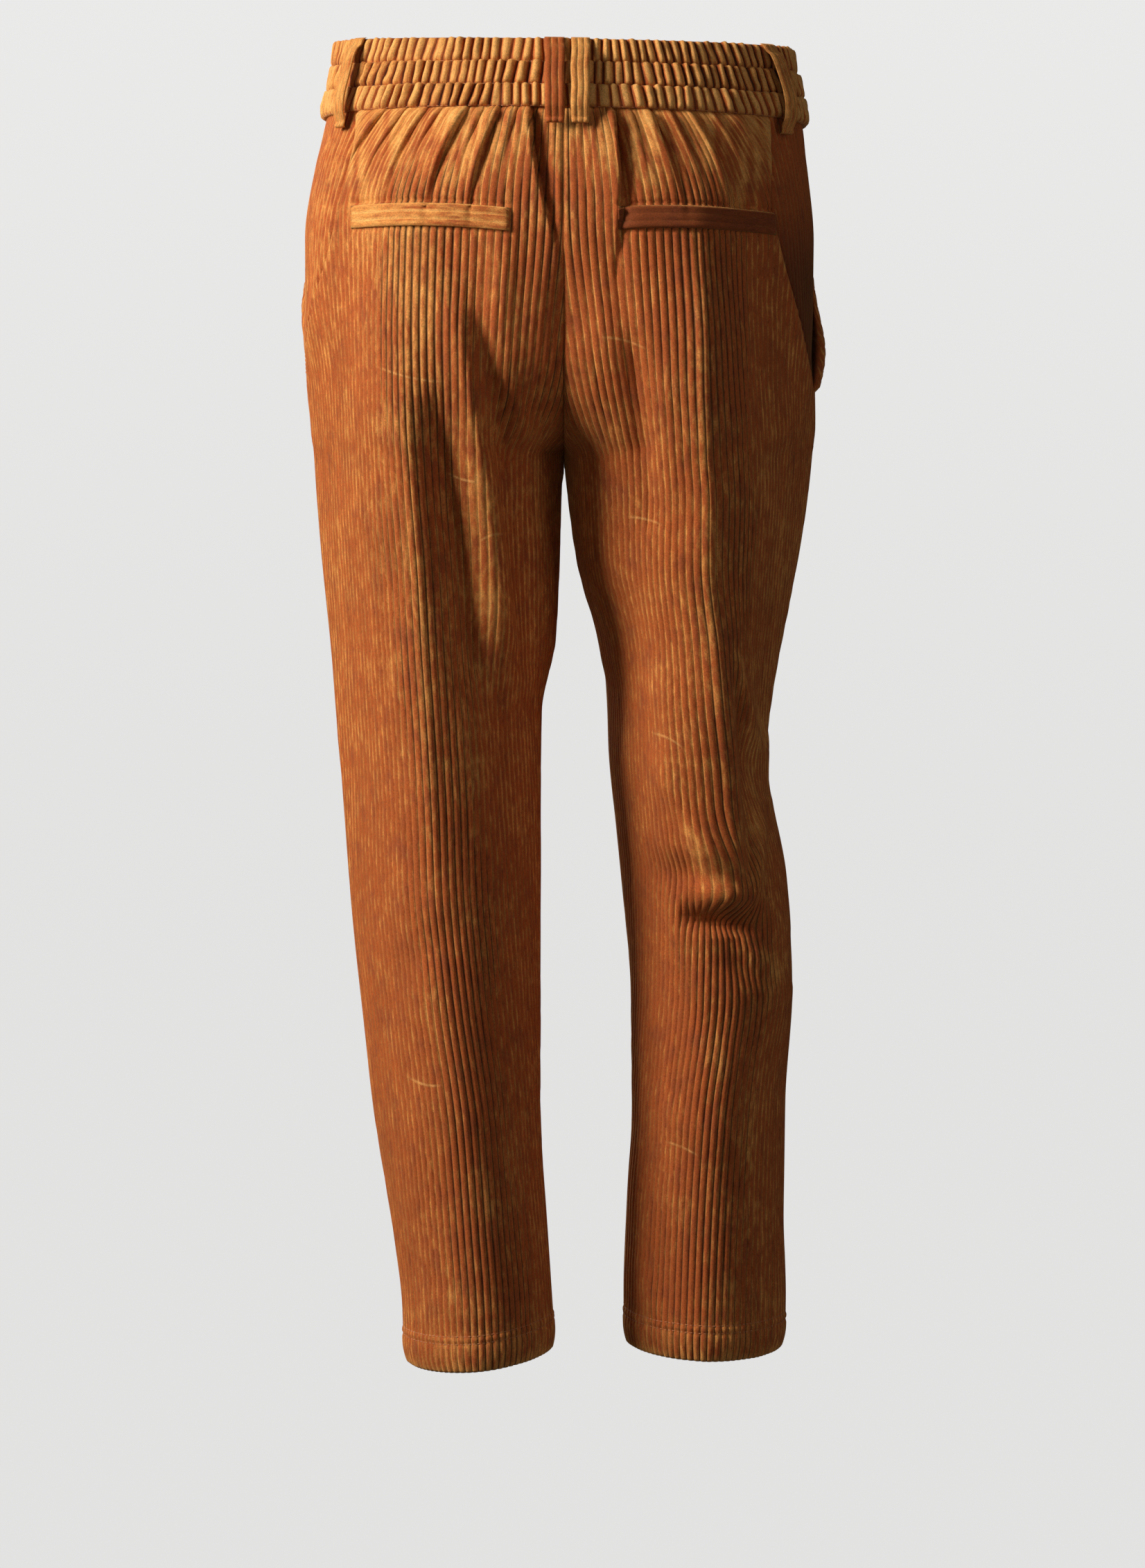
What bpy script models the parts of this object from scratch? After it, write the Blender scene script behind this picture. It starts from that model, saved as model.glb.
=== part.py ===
"""Cropped corduroy chinos with a three-channel elastic waist, open and hollow as they are worn.

The frame: +Z up, the front faces -Y, the wearer's left leg is at +X. The origin is the centre of
the waist, halfway up the waistband, where the wearer holds the garment up. All tables are in
millimetres; the meshes are in metres.

Each half of the garment is a stack of level sections. A section is a rounded lobe round one leg.
Above the crotch the lobe is cut off at the centre plane, where the two halves are sewn together,
and the lobe's cut end draws the crotch curve. Below the crotch it closes into the leg's tube.
"""

import bmesh
import bpy
import numpy as np

MM = 0.001

# --- Driving sizes, in millimetres ---------------------------------------------------------------
WALL = 1.8  # corduroy, pile included
SEAM_GAP = 0.3  # between two pieces sewn together
BAND_TOP = 27.0
BAND_BOTTOM = -27.0
CHANNELS = 3  # rows of elastic in the waistband
BAND_WALL = 3.0  # two layers of cloth and the elastic, at a channel's stitching
CHANNEL_SWELL = 2.6  # how far a channel swells out between its rows of stitching
CROTCH_Z = -258.0
POCKET_END_Z = -212.0  # where the slant pocket's mouth meets the side seam
HEM_TURN = 30.0  # height of the turned-up hem
HEM_WALL = 3.2
WELT_ROWS = (-88.0, -96.0, -104.0)  # top, middle and bottom of the back welts
WELT_WALL = 1.9
WELT_ENDS = (146.0, 37.0)  # outer and inner end, distance from the centre plane
LOOP_WIDTH = 13.0
LOOP_WALL = 2.4
LOOP_BOTTOM = -37.0  # the loops are tacked to the panels just under the band
LOOP_CLEARANCE = 5.6  # room for a belt between a loop and the band
TILT_TOP = 0.01  # rise per millimetre towards the back, at the band's top edge
TILT_BOTTOM = 0.07  # and at its bottom seam
WAIST_LEAN = 0.015  # rise per millimetre towards the wearer's left
TILT_FADE = (-27.0, -190.0)  # the tilt and the lean die away between these heights
HEM_FADE = (-560.0, -820.0)  # and the hem's slant comes in between these
ROUNDNESS = 2.15  # exponent of the lobes: 2 is an ellipse, more is squarer

# --- Sections ------------------------------------------------------------------------------------
# out: outer side. inn: inner side; below zero the lobe is cut at the centre plane. full: where the
# lobe is deepest. All three are distances from the centre plane. mid: height of the sides in y.
# back and front: the y of the two faces. crease: the pressed crease's distance from the centre.
SECTION_COLUMNS = ("z", "out", "inn", "full", "mid", "back", "front", "crease")
LEFT_SECTIONS = (
    (27, 154, -154, 0, 4, 103, -96, 97),
    (-27, 166, -166, 0, 4, 117, -108, 104),
    (-60, 176, -175, 22, 3, 125, -113, 109),
    (-110, 184, -150, 42, 1, 133, -117, 113),
    (-160, 184, -100, 60, -2, 136, -118, 113),
    (-205, 181, -45, 74, -4, 132, -116, 111),
    (-240, 178, -14, 84, -5, 124, -115, 108),
    (-258, 176, 0.2, 88, -5, 118, -114, 106),
    (-290, 174, 2, 90, -5, 110, -112, 104),
    (-330, 171, 3, 89, -5, 101, -109, 101),
    (-390, 165, 6, 86, -4, 92, -101, 98),
    (-440, 161, 16, 86, -4, 86, -95, 95),
    (-500, 156, 17, 86, -2, 79, -87, 92),
    (-560, 152, 17, 85, -1, 75, -80, 90),
    (-640, 144, 17, 81, 1, 73, -70, 82),
    (-720, 135, 17, 76, 3, 69, -63, 71),
    (-800, 122, 13, 68, 3, 63, -56, 65),
    (-860, 115, 9, 62, 3, 60, -54, 61),
    (-900, 114, 6, 60, 3, 60, -54, 60),
)
RIGHT_SECTIONS = (
    (27, 155, -155, 0, 4, 103, -96, 82),
    (-27, 167, -166, 0, 4, 117, -108, 86),
    (-60, 173, -175, 22, 3, 125, -113, 89),
    (-110, 178, -150, 42, 1, 133, -117, 91),
    (-160, 178, -100, 60, -3, 136, -118, 93),
    (-205, 177, -45, 74, -7, 132, -119, 94),
    (-240, 177, -14, 84, -10, 124, -120, 96),
    (-258, 175, 0.2, 87, -12, 118, -121, 97),
    (-290, 172, 5, 88, -14, 109, -122, 99),
    (-330, 166, 12, 88, -17, 99, -123, 102),
    (-390, 154, 27, 89, -22, 85, -122, 109),
    (-440, 147, 31, 88, -25, 77, -120, 115),
    (-490, 140, 33, 86, -28, 69, -117, 120),
    (-560, 153, 41, 97, -31, 56, -108, 125),
    (-640, 163, 48, 104, -29, 46, -97, 111),
    (-720, 158, 49, 102, -28, 40, -89, 107),
    (-800, 157, 45, 100, -30, 31, -86, 104),
    (-860, 159, 43, 100, -32, 26, -87, 102),
    (-900, 158, 43, 100, -33, 24, -88, 101),
)
# The side seam's angle round the lobe, in degrees from straight out, positive towards the back.
SEAM_COLUMNS = ("z", "left", "right")
SIDE_SEAM = (
    (27, 30, 32),
    (-27, 32, 33),
    (-60, 36, 37),
    (-90, 36, 41),
    (-120, 32, 38),
    (-155, 22, 31),
    (-190, 9, 21),
    (-212, 4, 12),
    (-260, 0, 2),
    (-900, -2, -2),
)
MOUTH_ANGLE = -30.0  # where the slant pocket's mouth meets the waistband, in the same degrees

# --- Folds ---------------------------------------------------------------------------------------
# The pressed creases, at the section table's `crease`. height: how far they stand out.
CREASE_COLUMNS = ("leg", "face", "top", "bottom", "height", "width")
CREASES = (
    ("left", "back", -130, -899, 4, 24),
    ("right", "back", -110, -600, 8, 28),
    ("right", "back", -620, -899, 3, 20),
    ("left", "front", -60, -899, 5, 24),
    ("right", "front", -60, -899, 5, 24),
)
# A fold runs from (z1, x1) to (z2, x2) on one face, x being the distance from the centre plane.
# height: how far it stands out, below zero for a trough. width: half its width.
FOLD_COLUMNS = ("leg", "face", "z1", "x1", "z2", "x2", "height", "width")
FOLDS = (
    # left seat and thigh: the trough beside the crease, and the soft roll inside it
    ("left", "back", -170, 86, -440, 58, -10, 22),
    ("left", "back", -215, 66, -440, 26, 6, 18),
    # right seat: a drag line from the seat to the inner thigh
    ("right", "back", -170, 50, -330, 78, -4, 18),
    # right knee: the cloth breaks over the bent knee
    ("right", "back", -390, 60, -560, 112, 5, 24),
    ("right", "back", -530, 74, -640, 150, -8, 26),
    # fronts: drag lines from the pocket to the crotch, and the knees
    ("left", "front", -150, 120, -250, 40, 4, 18),
    ("right", "front", -160, 118, -255, 42, 4, 18),
    ("left", "front", -500, 120, -560, 50, -4, 18),
    ("right", "front", -470, 60, -530, 126, -5, 18),
)
# Pleats under the gathered waist. at: share of the way from the side seam to the centre seam.
# drift: how much further out the pleat lies at its foot. reach: how far down it runs.
PLEAT_COLUMNS = ("leg", "face", "at", "height", "width", "reach", "drift")
PLEATS = (
    ("left", "back", 0.20, 3.0, 0.055, 90, 0.06),
    ("left", "back", 0.40, 4.0, 0.055, 110, 0.06),
    ("left", "back", 0.60, 3.5, 0.055, 90, 0.06),
    ("left", "back", 0.83, 6.0, 0.060, 150, 0.05),
    ("left", "back", 0.92, -4.0, 0.045, 170, -0.02),
    ("right", "back", 0.18, 3.0, 0.055, 80, 0.06),
    ("right", "back", 0.38, 4.0, 0.055, 110, 0.06),
    ("right", "back", 0.58, 3.5, 0.055, 100, 0.06),
    ("right", "back", 0.72, 3.0, 0.055, 90, 0.05),
    ("right", "back", 0.85, -5.0, 0.050, 140, 0.02),
    ("left", "front", 0.25, 3.5, 0.06, 90, 0.05),
    ("left", "front", 0.50, 4.0, 0.06, 110, 0.05),
    ("left", "front", 0.75, 3.0, 0.06, 80, 0.04),
    ("right", "front", 0.27, 3.5, 0.06, 100, 0.05),
    ("right", "front", 0.52, 3.5, 0.06, 90, 0.05),
    ("right", "front", 0.77, 3.5, 0.06, 90, 0.04),
)
# How far the pocket's mouth gapes, where, and over what height.
GAPE_COLUMNS = ("leg", "z", "height", "reach")
GAPES = (("left", -157, 4.0, 34), ("right", -189, 7.0, 30))
GAPE_DEPTH = 0.10  # share of the front panel that lifts with the mouth's edge

# Belt loops. place: length round the band's middle from the centre back, towards the right leg.
# bow: how far the loop's middle swings along the band.
LOOP_COLUMNS = ("name", "place", "bow")
LOOPS = (
    ("belt_loop_back_left", -6.0, 0.0),
    ("belt_loop_back_right", 11.0, 0.0),
    ("belt_loop_side_left", -155.0, 0.0),
    ("belt_loop_side_right", 155.0, 4.0),
    ("belt_loop_front_left", -320.0, 0.0),
    ("belt_loop_front_right", 320.0, 0.0),
)

# --- Mesh density --------------------------------------------------------------------------------
ROWS = (-27.3, -42, -62, -88, -96, -104, -128, -155, -180, -200, -212, -228, -240, -248,
        -253.5, -257, -258, -268, -290, -330, -380, -430, -480, -530, -570, -610, -680, -780)
OUTER_STEPS = 5  # columns from the side seam to the crease
INNER_STEPS = 8  # columns from the crease to the centre seam or inseam
TRACE_STEPS = 160  # points of the fine section that columns are spaced along

# hem: its height. lean: how much lower it hangs per millimetre outwards, and back: towards the back.
LEGS = {
    "left": {"sign": 1, "table": LEFT_SECTIONS, "hem": -900.0, "lean": 0.10, "back": 0.06},
    "right": {"sign": -1, "table": RIGHT_SECTIONS, "hem": -899.0, "lean": 0.03, "back": 0.06},
}


def column(rows, names, name):
    """One named column of a table."""
    return np.array([row[names.index(name)] for row in rows], float)


def smooth(z, levels, values):
    """A smooth curve through a table's values, which never swings past them."""
    order = np.argsort(levels)
    x, y = levels[order], values[order]
    step = np.diff(x)
    rise = np.diff(y) / step
    slope = np.zeros_like(y)
    slope[0], slope[-1] = rise[0], rise[-1]
    same_way = rise[:-1] * rise[1:] > 0
    mean = 2 * rise[:-1] * rise[1:] / np.where(same_way, rise[:-1] + rise[1:], 1)
    slope[1:-1] = np.where(same_way, mean, 0)
    at = np.clip(z, x[0], x[-1])
    i = np.clip(np.searchsorted(x, at, side="right") - 1, 0, len(step) - 1)
    t = (at - x[i]) / step[i]
    return ((1 + 2 * t) * (1 - t) ** 2 * y[i] + t * (1 - t) ** 2 * step[i] * slope[i]
            + t * t * (3 - 2 * t) * y[i + 1] + t * t * (t - 1) * step[i] * slope[i + 1])


def ease(t):
    """0 to 1, with no corner at either end."""
    t = np.clip(t, 0.0, 1.0)
    return t * t * (3 - 2 * t)


def shape_at(leg, z):
    """The section's measures at height z, by name."""
    table = LEGS[leg]["table"]
    levels = column(table, SECTION_COLUMNS, "z")
    return {name: float(smooth(z, levels, column(table, SECTION_COLUMNS, name)))
            for name in SECTION_COLUMNS[1:]}


def side_angle(leg, z):
    """The side seam's angle at height z, in radians."""
    levels = column(SIDE_SEAM, SEAM_COLUMNS, "z")
    return np.radians(float(smooth(z, levels, column(SIDE_SEAM, SEAM_COLUMNS, leg))))


def mouth_angle(leg, z):
    """The slant pocket's mouth, from the waistband down to the side seam."""
    end = side_angle(leg, POCKET_END_Z)
    share = (z - POCKET_END_Z) / (BAND_BOTTOM - POCKET_END_Z)
    return end + (np.radians(MOUTH_ANGLE) - end) * np.clip(share, 0, 1) ** 0.8


def lobe(shape, angle):
    """Points (distance from centre, y) on a section; the angle is from straight out to the back."""
    c, s = np.cos(angle), np.sin(angle)
    power = 2 / ROUNDNESS
    reach = np.where(c >= 0, shape["out"] - shape["full"], shape["full"] - shape["inn"])
    depth = np.where(s >= 0, shape["back"] - shape["mid"], shape["mid"] - shape["front"])
    x = shape["full"] + reach * np.sign(c) * np.abs(c) ** power
    y = shape["mid"] + depth * np.sign(s) * np.abs(s) ** power
    return np.stack([x, y], axis=-1)


def centre_angle(shape):
    """The angle where the lobe meets the centre plane, or half a turn below the crotch."""
    clear = SEAM_GAP / 2
    if shape["inn"] >= clear:
        return np.pi
    if shape["full"] > clear:
        share = (shape["full"] - clear) / (shape["full"] - shape["inn"])
        return np.pi - np.arccos(share ** (ROUNDNESS / 2))
    return np.arccos((clear - shape["full"]) / (shape["out"] - shape["full"]))


def fold_height(leg, face, z, x):
    """How far the creases and folds of one face move its points, at height z and places x."""
    total = np.zeros_like(x)
    for row in CREASES:
        crease = dict(zip(CREASE_COLUMNS, row))
        along = (crease["top"] - z) / (crease["top"] - crease["bottom"])
        if (crease["leg"], crease["face"]) == (leg, face) and 0 < along < 1:
            across = np.abs(x - shape_at(leg, z)["crease"]) / crease["width"]
            total += crease["height"] * np.exp(-1.6 * across) * ease(6 * along)
    for row in FOLDS:
        fold = dict(zip(FOLD_COLUMNS, row))
        along = (fold["z1"] - z) / (fold["z1"] - fold["z2"])
        if (fold["leg"], fold["face"]) == (leg, face) and 0 < along < 1:
            across = (x - fold["x1"] - (fold["x2"] - fold["x1"]) * along) / fold["width"]
            total += fold["height"] * np.exp(-across ** 2) * ease(4 * along) * ease(4 * (1 - along))
    return total


def pleat_height(leg, face, z, share):
    """How far the pleats under the waistband move a face's points."""
    total = np.zeros_like(share)
    for row in PLEATS:
        pleat = dict(zip(PLEAT_COLUMNS, row))
        down = (BAND_BOTTOM - z) / pleat["reach"]
        if (pleat["leg"], pleat["face"]) != (leg, face) or not 0 <= down < 1:
            continue
        at = pleat["at"] - pleat["drift"] * down
        profile = np.exp(-((share - at) / pleat["width"]) ** 2)
        total += pleat["height"] * profile * (1 - ease(down)) * ease(0.35 + 3 * down)
    return total


def gape_height(leg, z, share):
    """How far the pocket's mouth stands away; share is 0 at the mouth's edge."""
    for row in GAPES:
        gape = dict(zip(GAPE_COLUMNS, row))
        if gape["leg"] == leg:
            lift = np.exp(-((z - gape["z"]) / gape["reach"]) ** 2)
            return gape["height"] * lift * (1 - ease(share / GAPE_DEPTH))
    return np.zeros_like(share)


def trace(leg, face, z, outer):
    """A fine section of one face at height z, from the angle `outer` to the centre seam or inseam.

    Returns its points and outward normals in (distance from centre, y), its lengths along, and
    the two lengths that the seam gaps leave it.
    """
    shape = shape_at(leg, z)
    turn = 1 if face == "back" else -1
    angle = np.linspace(outer, turn * centre_angle(shape), TRACE_STEPS)
    points = lobe(shape, angle)
    share = np.linspace(0, 1, TRACE_STEPS)
    height = fold_height(leg, face, z, points[:, 0]) + pleat_height(leg, face, z, share)
    height *= ease(share / 0.06) * ease((1 - share) / 0.06)
    if face == "front" and z > POCKET_END_Z:
        height += gape_height(leg, z, share)
    points = points + outward(points, turn) * height[:, None]
    normals = outward(points, turn)
    length = np.concatenate([[0], np.cumsum(np.linalg.norm(np.diff(points, axis=0), axis=1))])
    start = SEAM_GAP / 2
    stop = length[-1] - (SEAM_GAP / 2 if z <= CROTCH_Z else 0)
    return points, normals, length, (start, stop)


def outward(points, turn):
    """Unit normals of a section's line, pointing away from the leg."""
    run = np.gradient(points, axis=0)
    normals = np.stack([run[:, 1], -run[:, 0]], axis=1) * turn
    return normals / np.linalg.norm(normals, axis=1)[:, None]


def at_lengths(points, length, wanted):
    """A section's points or normals at given lengths along it."""
    return np.stack([np.interp(wanted, length, points[:, k]) for k in (0, 1)], axis=1)


def crease_length(leg, face, z, points, length):
    """The length along the section at which the pressed crease lies."""
    facing = points[:, 1] > 0 if face == "back" else points[:, 1] < 0
    off = np.abs(points[:, 0] - shape_at(leg, z)["crease"]) + np.where(facing, 0, 1000)
    share = np.clip(length[np.argmin(off)] / length[-1], 0.2, 0.65)
    return share * length[-1]


def worn(points):
    """Tilts the waist and slants the hems, as the garment hangs; points are (n, 3) in mm."""
    points = np.array(points, float)
    x, y, z = points.T.copy()
    down = ease((TILT_FADE[0] - z) / (TILT_FADE[0] - TILT_FADE[1]))
    tilt = np.interp(z, (BAND_BOTTOM, BAND_TOP), (TILT_BOTTOM, TILT_TOP))
    points[:, 2] += (1 - down) * (tilt * y + WAIST_LEAN * x)
    for name, leg in LEGS.items():
        hem = shape_at(name, leg["hem"])
        low = ease((HEM_FADE[0] - z) / (HEM_FADE[0] - HEM_FADE[1])) * (x * leg["sign"] > 0)
        points[:, 2] -= low * (leg["lean"] * (np.abs(x) - hem["full"]) + leg["back"] * (y - hem["mid"]))
    return points


def wall_at(z, hem):
    """The cloth's thickness: doubled where the hem is turned up."""
    return WALL + (HEM_WALL - WALL) * float(z < hem + HEM_TURN)


def levels_of(leg):
    """The heights of a leg's rows, from the waistband to the hem."""
    hem = LEGS[leg]["hem"]
    turn = hem + HEM_TURN
    return [*ROWS, turn + 0.4, turn - 0.4, hem]


def panel_grid(leg, face):
    """Outer and inner points of one leg panel: (rows, columns, 3) each, in mm."""
    sign = LEGS[leg]["sign"]
    outer, inner = [], []
    for z in levels_of(leg):
        pocket = face == "front" and z > POCKET_END_Z
        edge = mouth_angle(leg, z) if pocket else side_angle(leg, z)
        points, normals, length, (start, stop) = trace(leg, face, z, edge)
        crease = crease_length(leg, face, z, points, length)
        wanted = np.concatenate([np.linspace(start, crease, OUTER_STEPS, endpoint=False),
                                 np.linspace(crease, stop, INNER_STEPS + 1)])
        flat = at_lengths(points, length, wanted)
        out = at_lengths(normals, length, wanted)
        out /= np.linalg.norm(out, axis=1)[:, None]
        within = flat - out * wall_at(z, LEGS[leg]["hem"])
        within[:, 0] = np.maximum(within[:, 0], SEAM_GAP / 2)
        for rows, place in ((outer, flat), (inner, within)):
            rows.append(np.column_stack([place[:, 0] * sign, place[:, 1], np.full(len(place), z)]))
    return np.array(outer), np.array(inner)


def closed_shell(name, outer, inner, material, wrap=False):
    """A solid between two grids of points; wrap joins the last column to the first."""
    rows, columns = outer.shape[:2]
    mesh = bmesh.new()
    verts = [[mesh.verts.new(p * MM) for p in worn(grid.reshape(-1, 3))] for grid in (outer, inner)]
    across = columns if wrap else columns - 1

    def at(layer, row, col):
        return verts[layer][row * columns + col % columns]

    for row in range(rows - 1):
        for col in range(across):
            a, b, c, d = (row, col), (row, col + 1), (row + 1, col + 1), (row + 1, col)
            for corners in ((a, b, c), (a, c, d)):  # one diagonal for both, so the wall is even
                mesh.faces.new([at(0, *corner) for corner in corners])
                mesh.faces.new([at(1, *corner) for corner in reversed(corners)])
    for col in range(across):
        mesh.faces.new([at(0, 0, col + 1), at(0, 0, col), at(1, 0, col), at(1, 0, col + 1)])
        last = rows - 1
        mesh.faces.new([at(0, last, col), at(0, last, col + 1),
                        at(1, last, col + 1), at(1, last, col)])
    if not wrap:
        for row in range(rows - 1):
            end = columns - 1
            mesh.faces.new([at(0, row, 0), at(0, row + 1, 0), at(1, row + 1, 0), at(1, row, 0)])
            mesh.faces.new([at(0, row + 1, end), at(0, row, end),
                            at(1, row, end), at(1, row + 1, end)])
    return finish_object(name, mesh, material)


def finish_object(name, mesh, material):
    """Turns a closed bmesh into a named, smooth-shaded object with its faces pointing out."""
    bmesh.ops.recalc_face_normals(mesh, faces=mesh.faces)
    if mesh.calc_volume(signed=True) < 0:
        bmesh.ops.reverse_faces(mesh, faces=mesh.faces)
    data = bpy.data.meshes.new(name)
    mesh.to_mesh(data)
    mesh.free()
    data.materials.append(material)
    data.shade_smooth()
    data.set_sharp_from_angle(angle=np.radians(40))
    made = bpy.data.objects.new(name, data)
    bpy.context.scene.collection.objects.link(made)
    return made


def cloth(name, colour, roughness):
    """A Principled material for one kind of cloth."""
    material = bpy.data.materials.new(name)
    material.use_nodes = True
    shader = material.node_tree.nodes["Principled BSDF"]
    shader.inputs["Base Color"].default_value = (*colour, 1)
    shader.inputs["Roughness"].default_value = roughness
    shader.inputs["Metallic"].default_value = 0.0
    material.diffuse_color = (*colour, 1)
    return material


def make_leg_panels(corduroy):
    """The four leg panels: a back and a front for each leg."""
    for leg in LEGS:
        for face in ("back", "front"):
            closed_shell(f"{face}_{leg}", *panel_grid(leg, face), corduroy)


def make_pocket_facings(corduroy):
    """The side pieces that show in the slant pockets, tucked under the fronts' cut edges."""
    tuck = np.radians(7)  # how far the facing runs on under the front panel
    depth = WALL + 6 * SEAM_GAP
    shares = np.array([0, 0.25, 0.5, 0.75, 1, 1.02])
    for leg in LEGS:
        sign = LEGS[leg]["sign"]
        outer, inner = [], []
        for z in [row for row in ROWS if row > POCKET_END_Z + 10]:
            shape = shape_at(leg, z)
            seam, mouth = side_angle(leg, z), mouth_angle(leg, z)
            seam -= SEAM_GAP / 2 / (shape["out"] - shape["full"])
            sink = depth * ease(shares)
            angle = seam + (mouth - seam) * shares
            angle[-1] = mouth - tuck
            flat = lobe(shape, angle)
            out = outward(lobe(shape, np.linspace(seam, mouth - tuck, TRACE_STEPS)), -1)
            spaced = (seam - angle) / (seam - angle[-1]) * (TRACE_STEPS - 1)
            normals = np.stack([np.interp(spaced, np.arange(TRACE_STEPS), out[:, k])
                                for k in (0, 1)], axis=1)
            top = flat - normals * sink[:, None]
            under = top - normals * WALL
            for rows, place in ((outer, top), (inner, under)):
                rows.append(np.column_stack([place[:, 0] * sign, place[:, 1],
                                             np.full(len(place), z)]))
        closed_shell(f"pocket_facing_{leg}", np.array(outer), np.array(inner), corduroy)


def band_ring(z):
    """A fine closed line round the waist at height z, from the wearer's left towards the back."""
    turns = np.linspace(0, 2 * np.pi, 4 * TRACE_STEPS + 1)
    sides = {leg: dict(shape_at(leg, z), full=0) for leg in LEGS}
    left = lobe(sides["left"], turns)
    right = lobe(sides["right"], np.pi - turns) * [-1, 1]
    points = np.where((np.cos(turns) >= 0)[:, None], left, right)
    run = np.roll(points[:-1], -1, axis=0) - np.roll(points[:-1], 1, axis=0)
    normals = np.stack([run[:, 1], -run[:, 0]], axis=1)
    normals /= np.linalg.norm(normals, axis=1)[:, None]
    normals = np.vstack([normals, normals[:1]])
    steps = np.linalg.norm(np.diff(points, axis=0), axis=1)
    length = np.concatenate([[0], np.cumsum(steps)])
    return points, normals, length - np.interp(np.pi / 2, turns, length)


def band_points(z, places, off):
    """Points round the waist at lengths from the centre back, off the band's inner face."""
    points, normals, length = band_ring(z)
    wanted = (np.asarray(places, float) - length[0]) % (length[-1] - length[0]) + length[0]
    flat = at_lengths(points, length, wanted) + at_lengths(normals, length, wanted) * off
    return np.column_stack([flat, np.full(len(flat), z)])


def band_swell(z):
    """How far the waistband's outer face stands off its inner face."""
    share = (BAND_TOP - z) / (BAND_TOP - BAND_BOTTOM) * CHANNELS
    return BAND_WALL + CHANNEL_SWELL * np.abs(np.sin(np.pi * share)) ** 0.6


def make_waistband(corduroy):
    """The elastic waistband: one loop with three swollen channels."""
    around, per_channel = 46, 3
    outer, inner = [], []
    for z in np.linspace(BAND_TOP, BAND_BOTTOM, CHANNELS * per_channel + 1):
        length = band_ring(z)[2]
        places = np.linspace(length[0], length[-1], around, endpoint=False)
        outer.append(band_points(z, places, band_swell(z)))
        inner.append(band_points(z, places, 0.0))
    closed_shell("waistband", np.array(outer), np.array(inner), corduroy, wrap=True)


def make_back_welts(corduroy):
    """The welts of the back pockets, lying on the panels' own points."""
    for leg in LEGS:
        outer, _ = panel_grid(leg, "back")
        levels = levels_of(leg)
        rows = [levels.index(z) for z in WELT_ROWS]
        across = np.abs(outer[rows[1], :, 0])
        inside = [i for i in range(len(across)) if WELT_ENDS[1] + 3 < across[i] < WELT_ENDS[0] - 3]
        places = [WELT_ENDS[0], *across[inside], WELT_ENDS[1]]
        shares = np.interp(places, across[::-1], np.arange(len(across))[::-1])
        under, over = [], []
        for row in rows:
            line = np.stack([np.interp(shares, np.arange(len(across)), outer[row, :, k])
                             for k in range(3)], axis=1)
            flat = line[:, :2] * [LEGS[leg]["sign"], 1]
            normal = outward(flat, 1) * [LEGS[leg]["sign"], 1]
            normal = np.column_stack([normal, np.zeros(len(normal))])
            under.append(line + normal * SEAM_GAP * 1.5)
            over.append(line + normal * (SEAM_GAP * 1.5 + WELT_WALL))
        closed_shell(f"back_welt_{leg}", np.array(over), np.array(under), corduroy)


def make_belt_loops(corduroy):
    """Six belt loops: two beside the centre back, two over the side seams, two at the front."""
    crest = BAND_WALL + CHANNEL_SWELL
    # height, and how far the loop's inner face is off the band's, from the top tack down
    run = (
        (BAND_TOP, crest + 0.4),
        (23.0, crest + 0.7),
        (18.5, crest + LOOP_CLEARANCE),
        (-12.0, crest + LOOP_CLEARANCE + 0.4),
        (-26.0, crest + LOOP_CLEARANCE),
        (-33.0, crest + 0.9),
        (LOOP_BOTTOM, crest + 0.6),
    )
    girth = np.ptp(band_ring(0.0)[2])
    for name, place, bow in LOOPS:
        layers = [], []
        for z, off in run:
            spread = np.ptp(band_ring(z)[2]) / girth if abs(place) > LOOP_WIDTH else 1.0
            swing = bow * np.sin(np.pi * (BAND_TOP - z) / (BAND_TOP - LOOP_BOTTOM))
            places = place * spread + swing + np.array([-0.5, 0.0, 0.5]) * LOOP_WIDTH
            for layer, extra in zip(layers, (LOOP_WALL, 0)):
                layer.append(band_points(z, places, off + extra))
        closed_shell(name, np.array(layers[0]), np.array(layers[1]), corduroy)


def main():
    for old in list(bpy.data.objects):
        bpy.data.objects.remove(old)
    corduroy = cloth("corduroy", (0.47, 0.15, 0.03), 0.9)
    make_leg_panels(corduroy)
    make_pocket_facings(corduroy)
    make_waistband(corduroy)
    make_back_welts(corduroy)
    make_belt_loops(corduroy)


main()
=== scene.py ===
"""The looks of the cropped corduroy chinos: ribbed cloth, gathers, elastic waist, seams and stitches.

Lengths in the tables and helpers are millimetres, as in the CAD; meshes and the studio are in metres.
The garment's sections start from the CAD's own tables; creases, flat faces, folds and gathers then
move the cloth by some millimetres. A panel is laid out in its pattern: columns follow the
corduroy's ribs (its wales), rows are level. `leg` is "left" or "right", `face` is "back" or
"front". Places across a panel are lengths along the section: `u` from the pressed crease, below
zero towards the side seam.
"""

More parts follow.
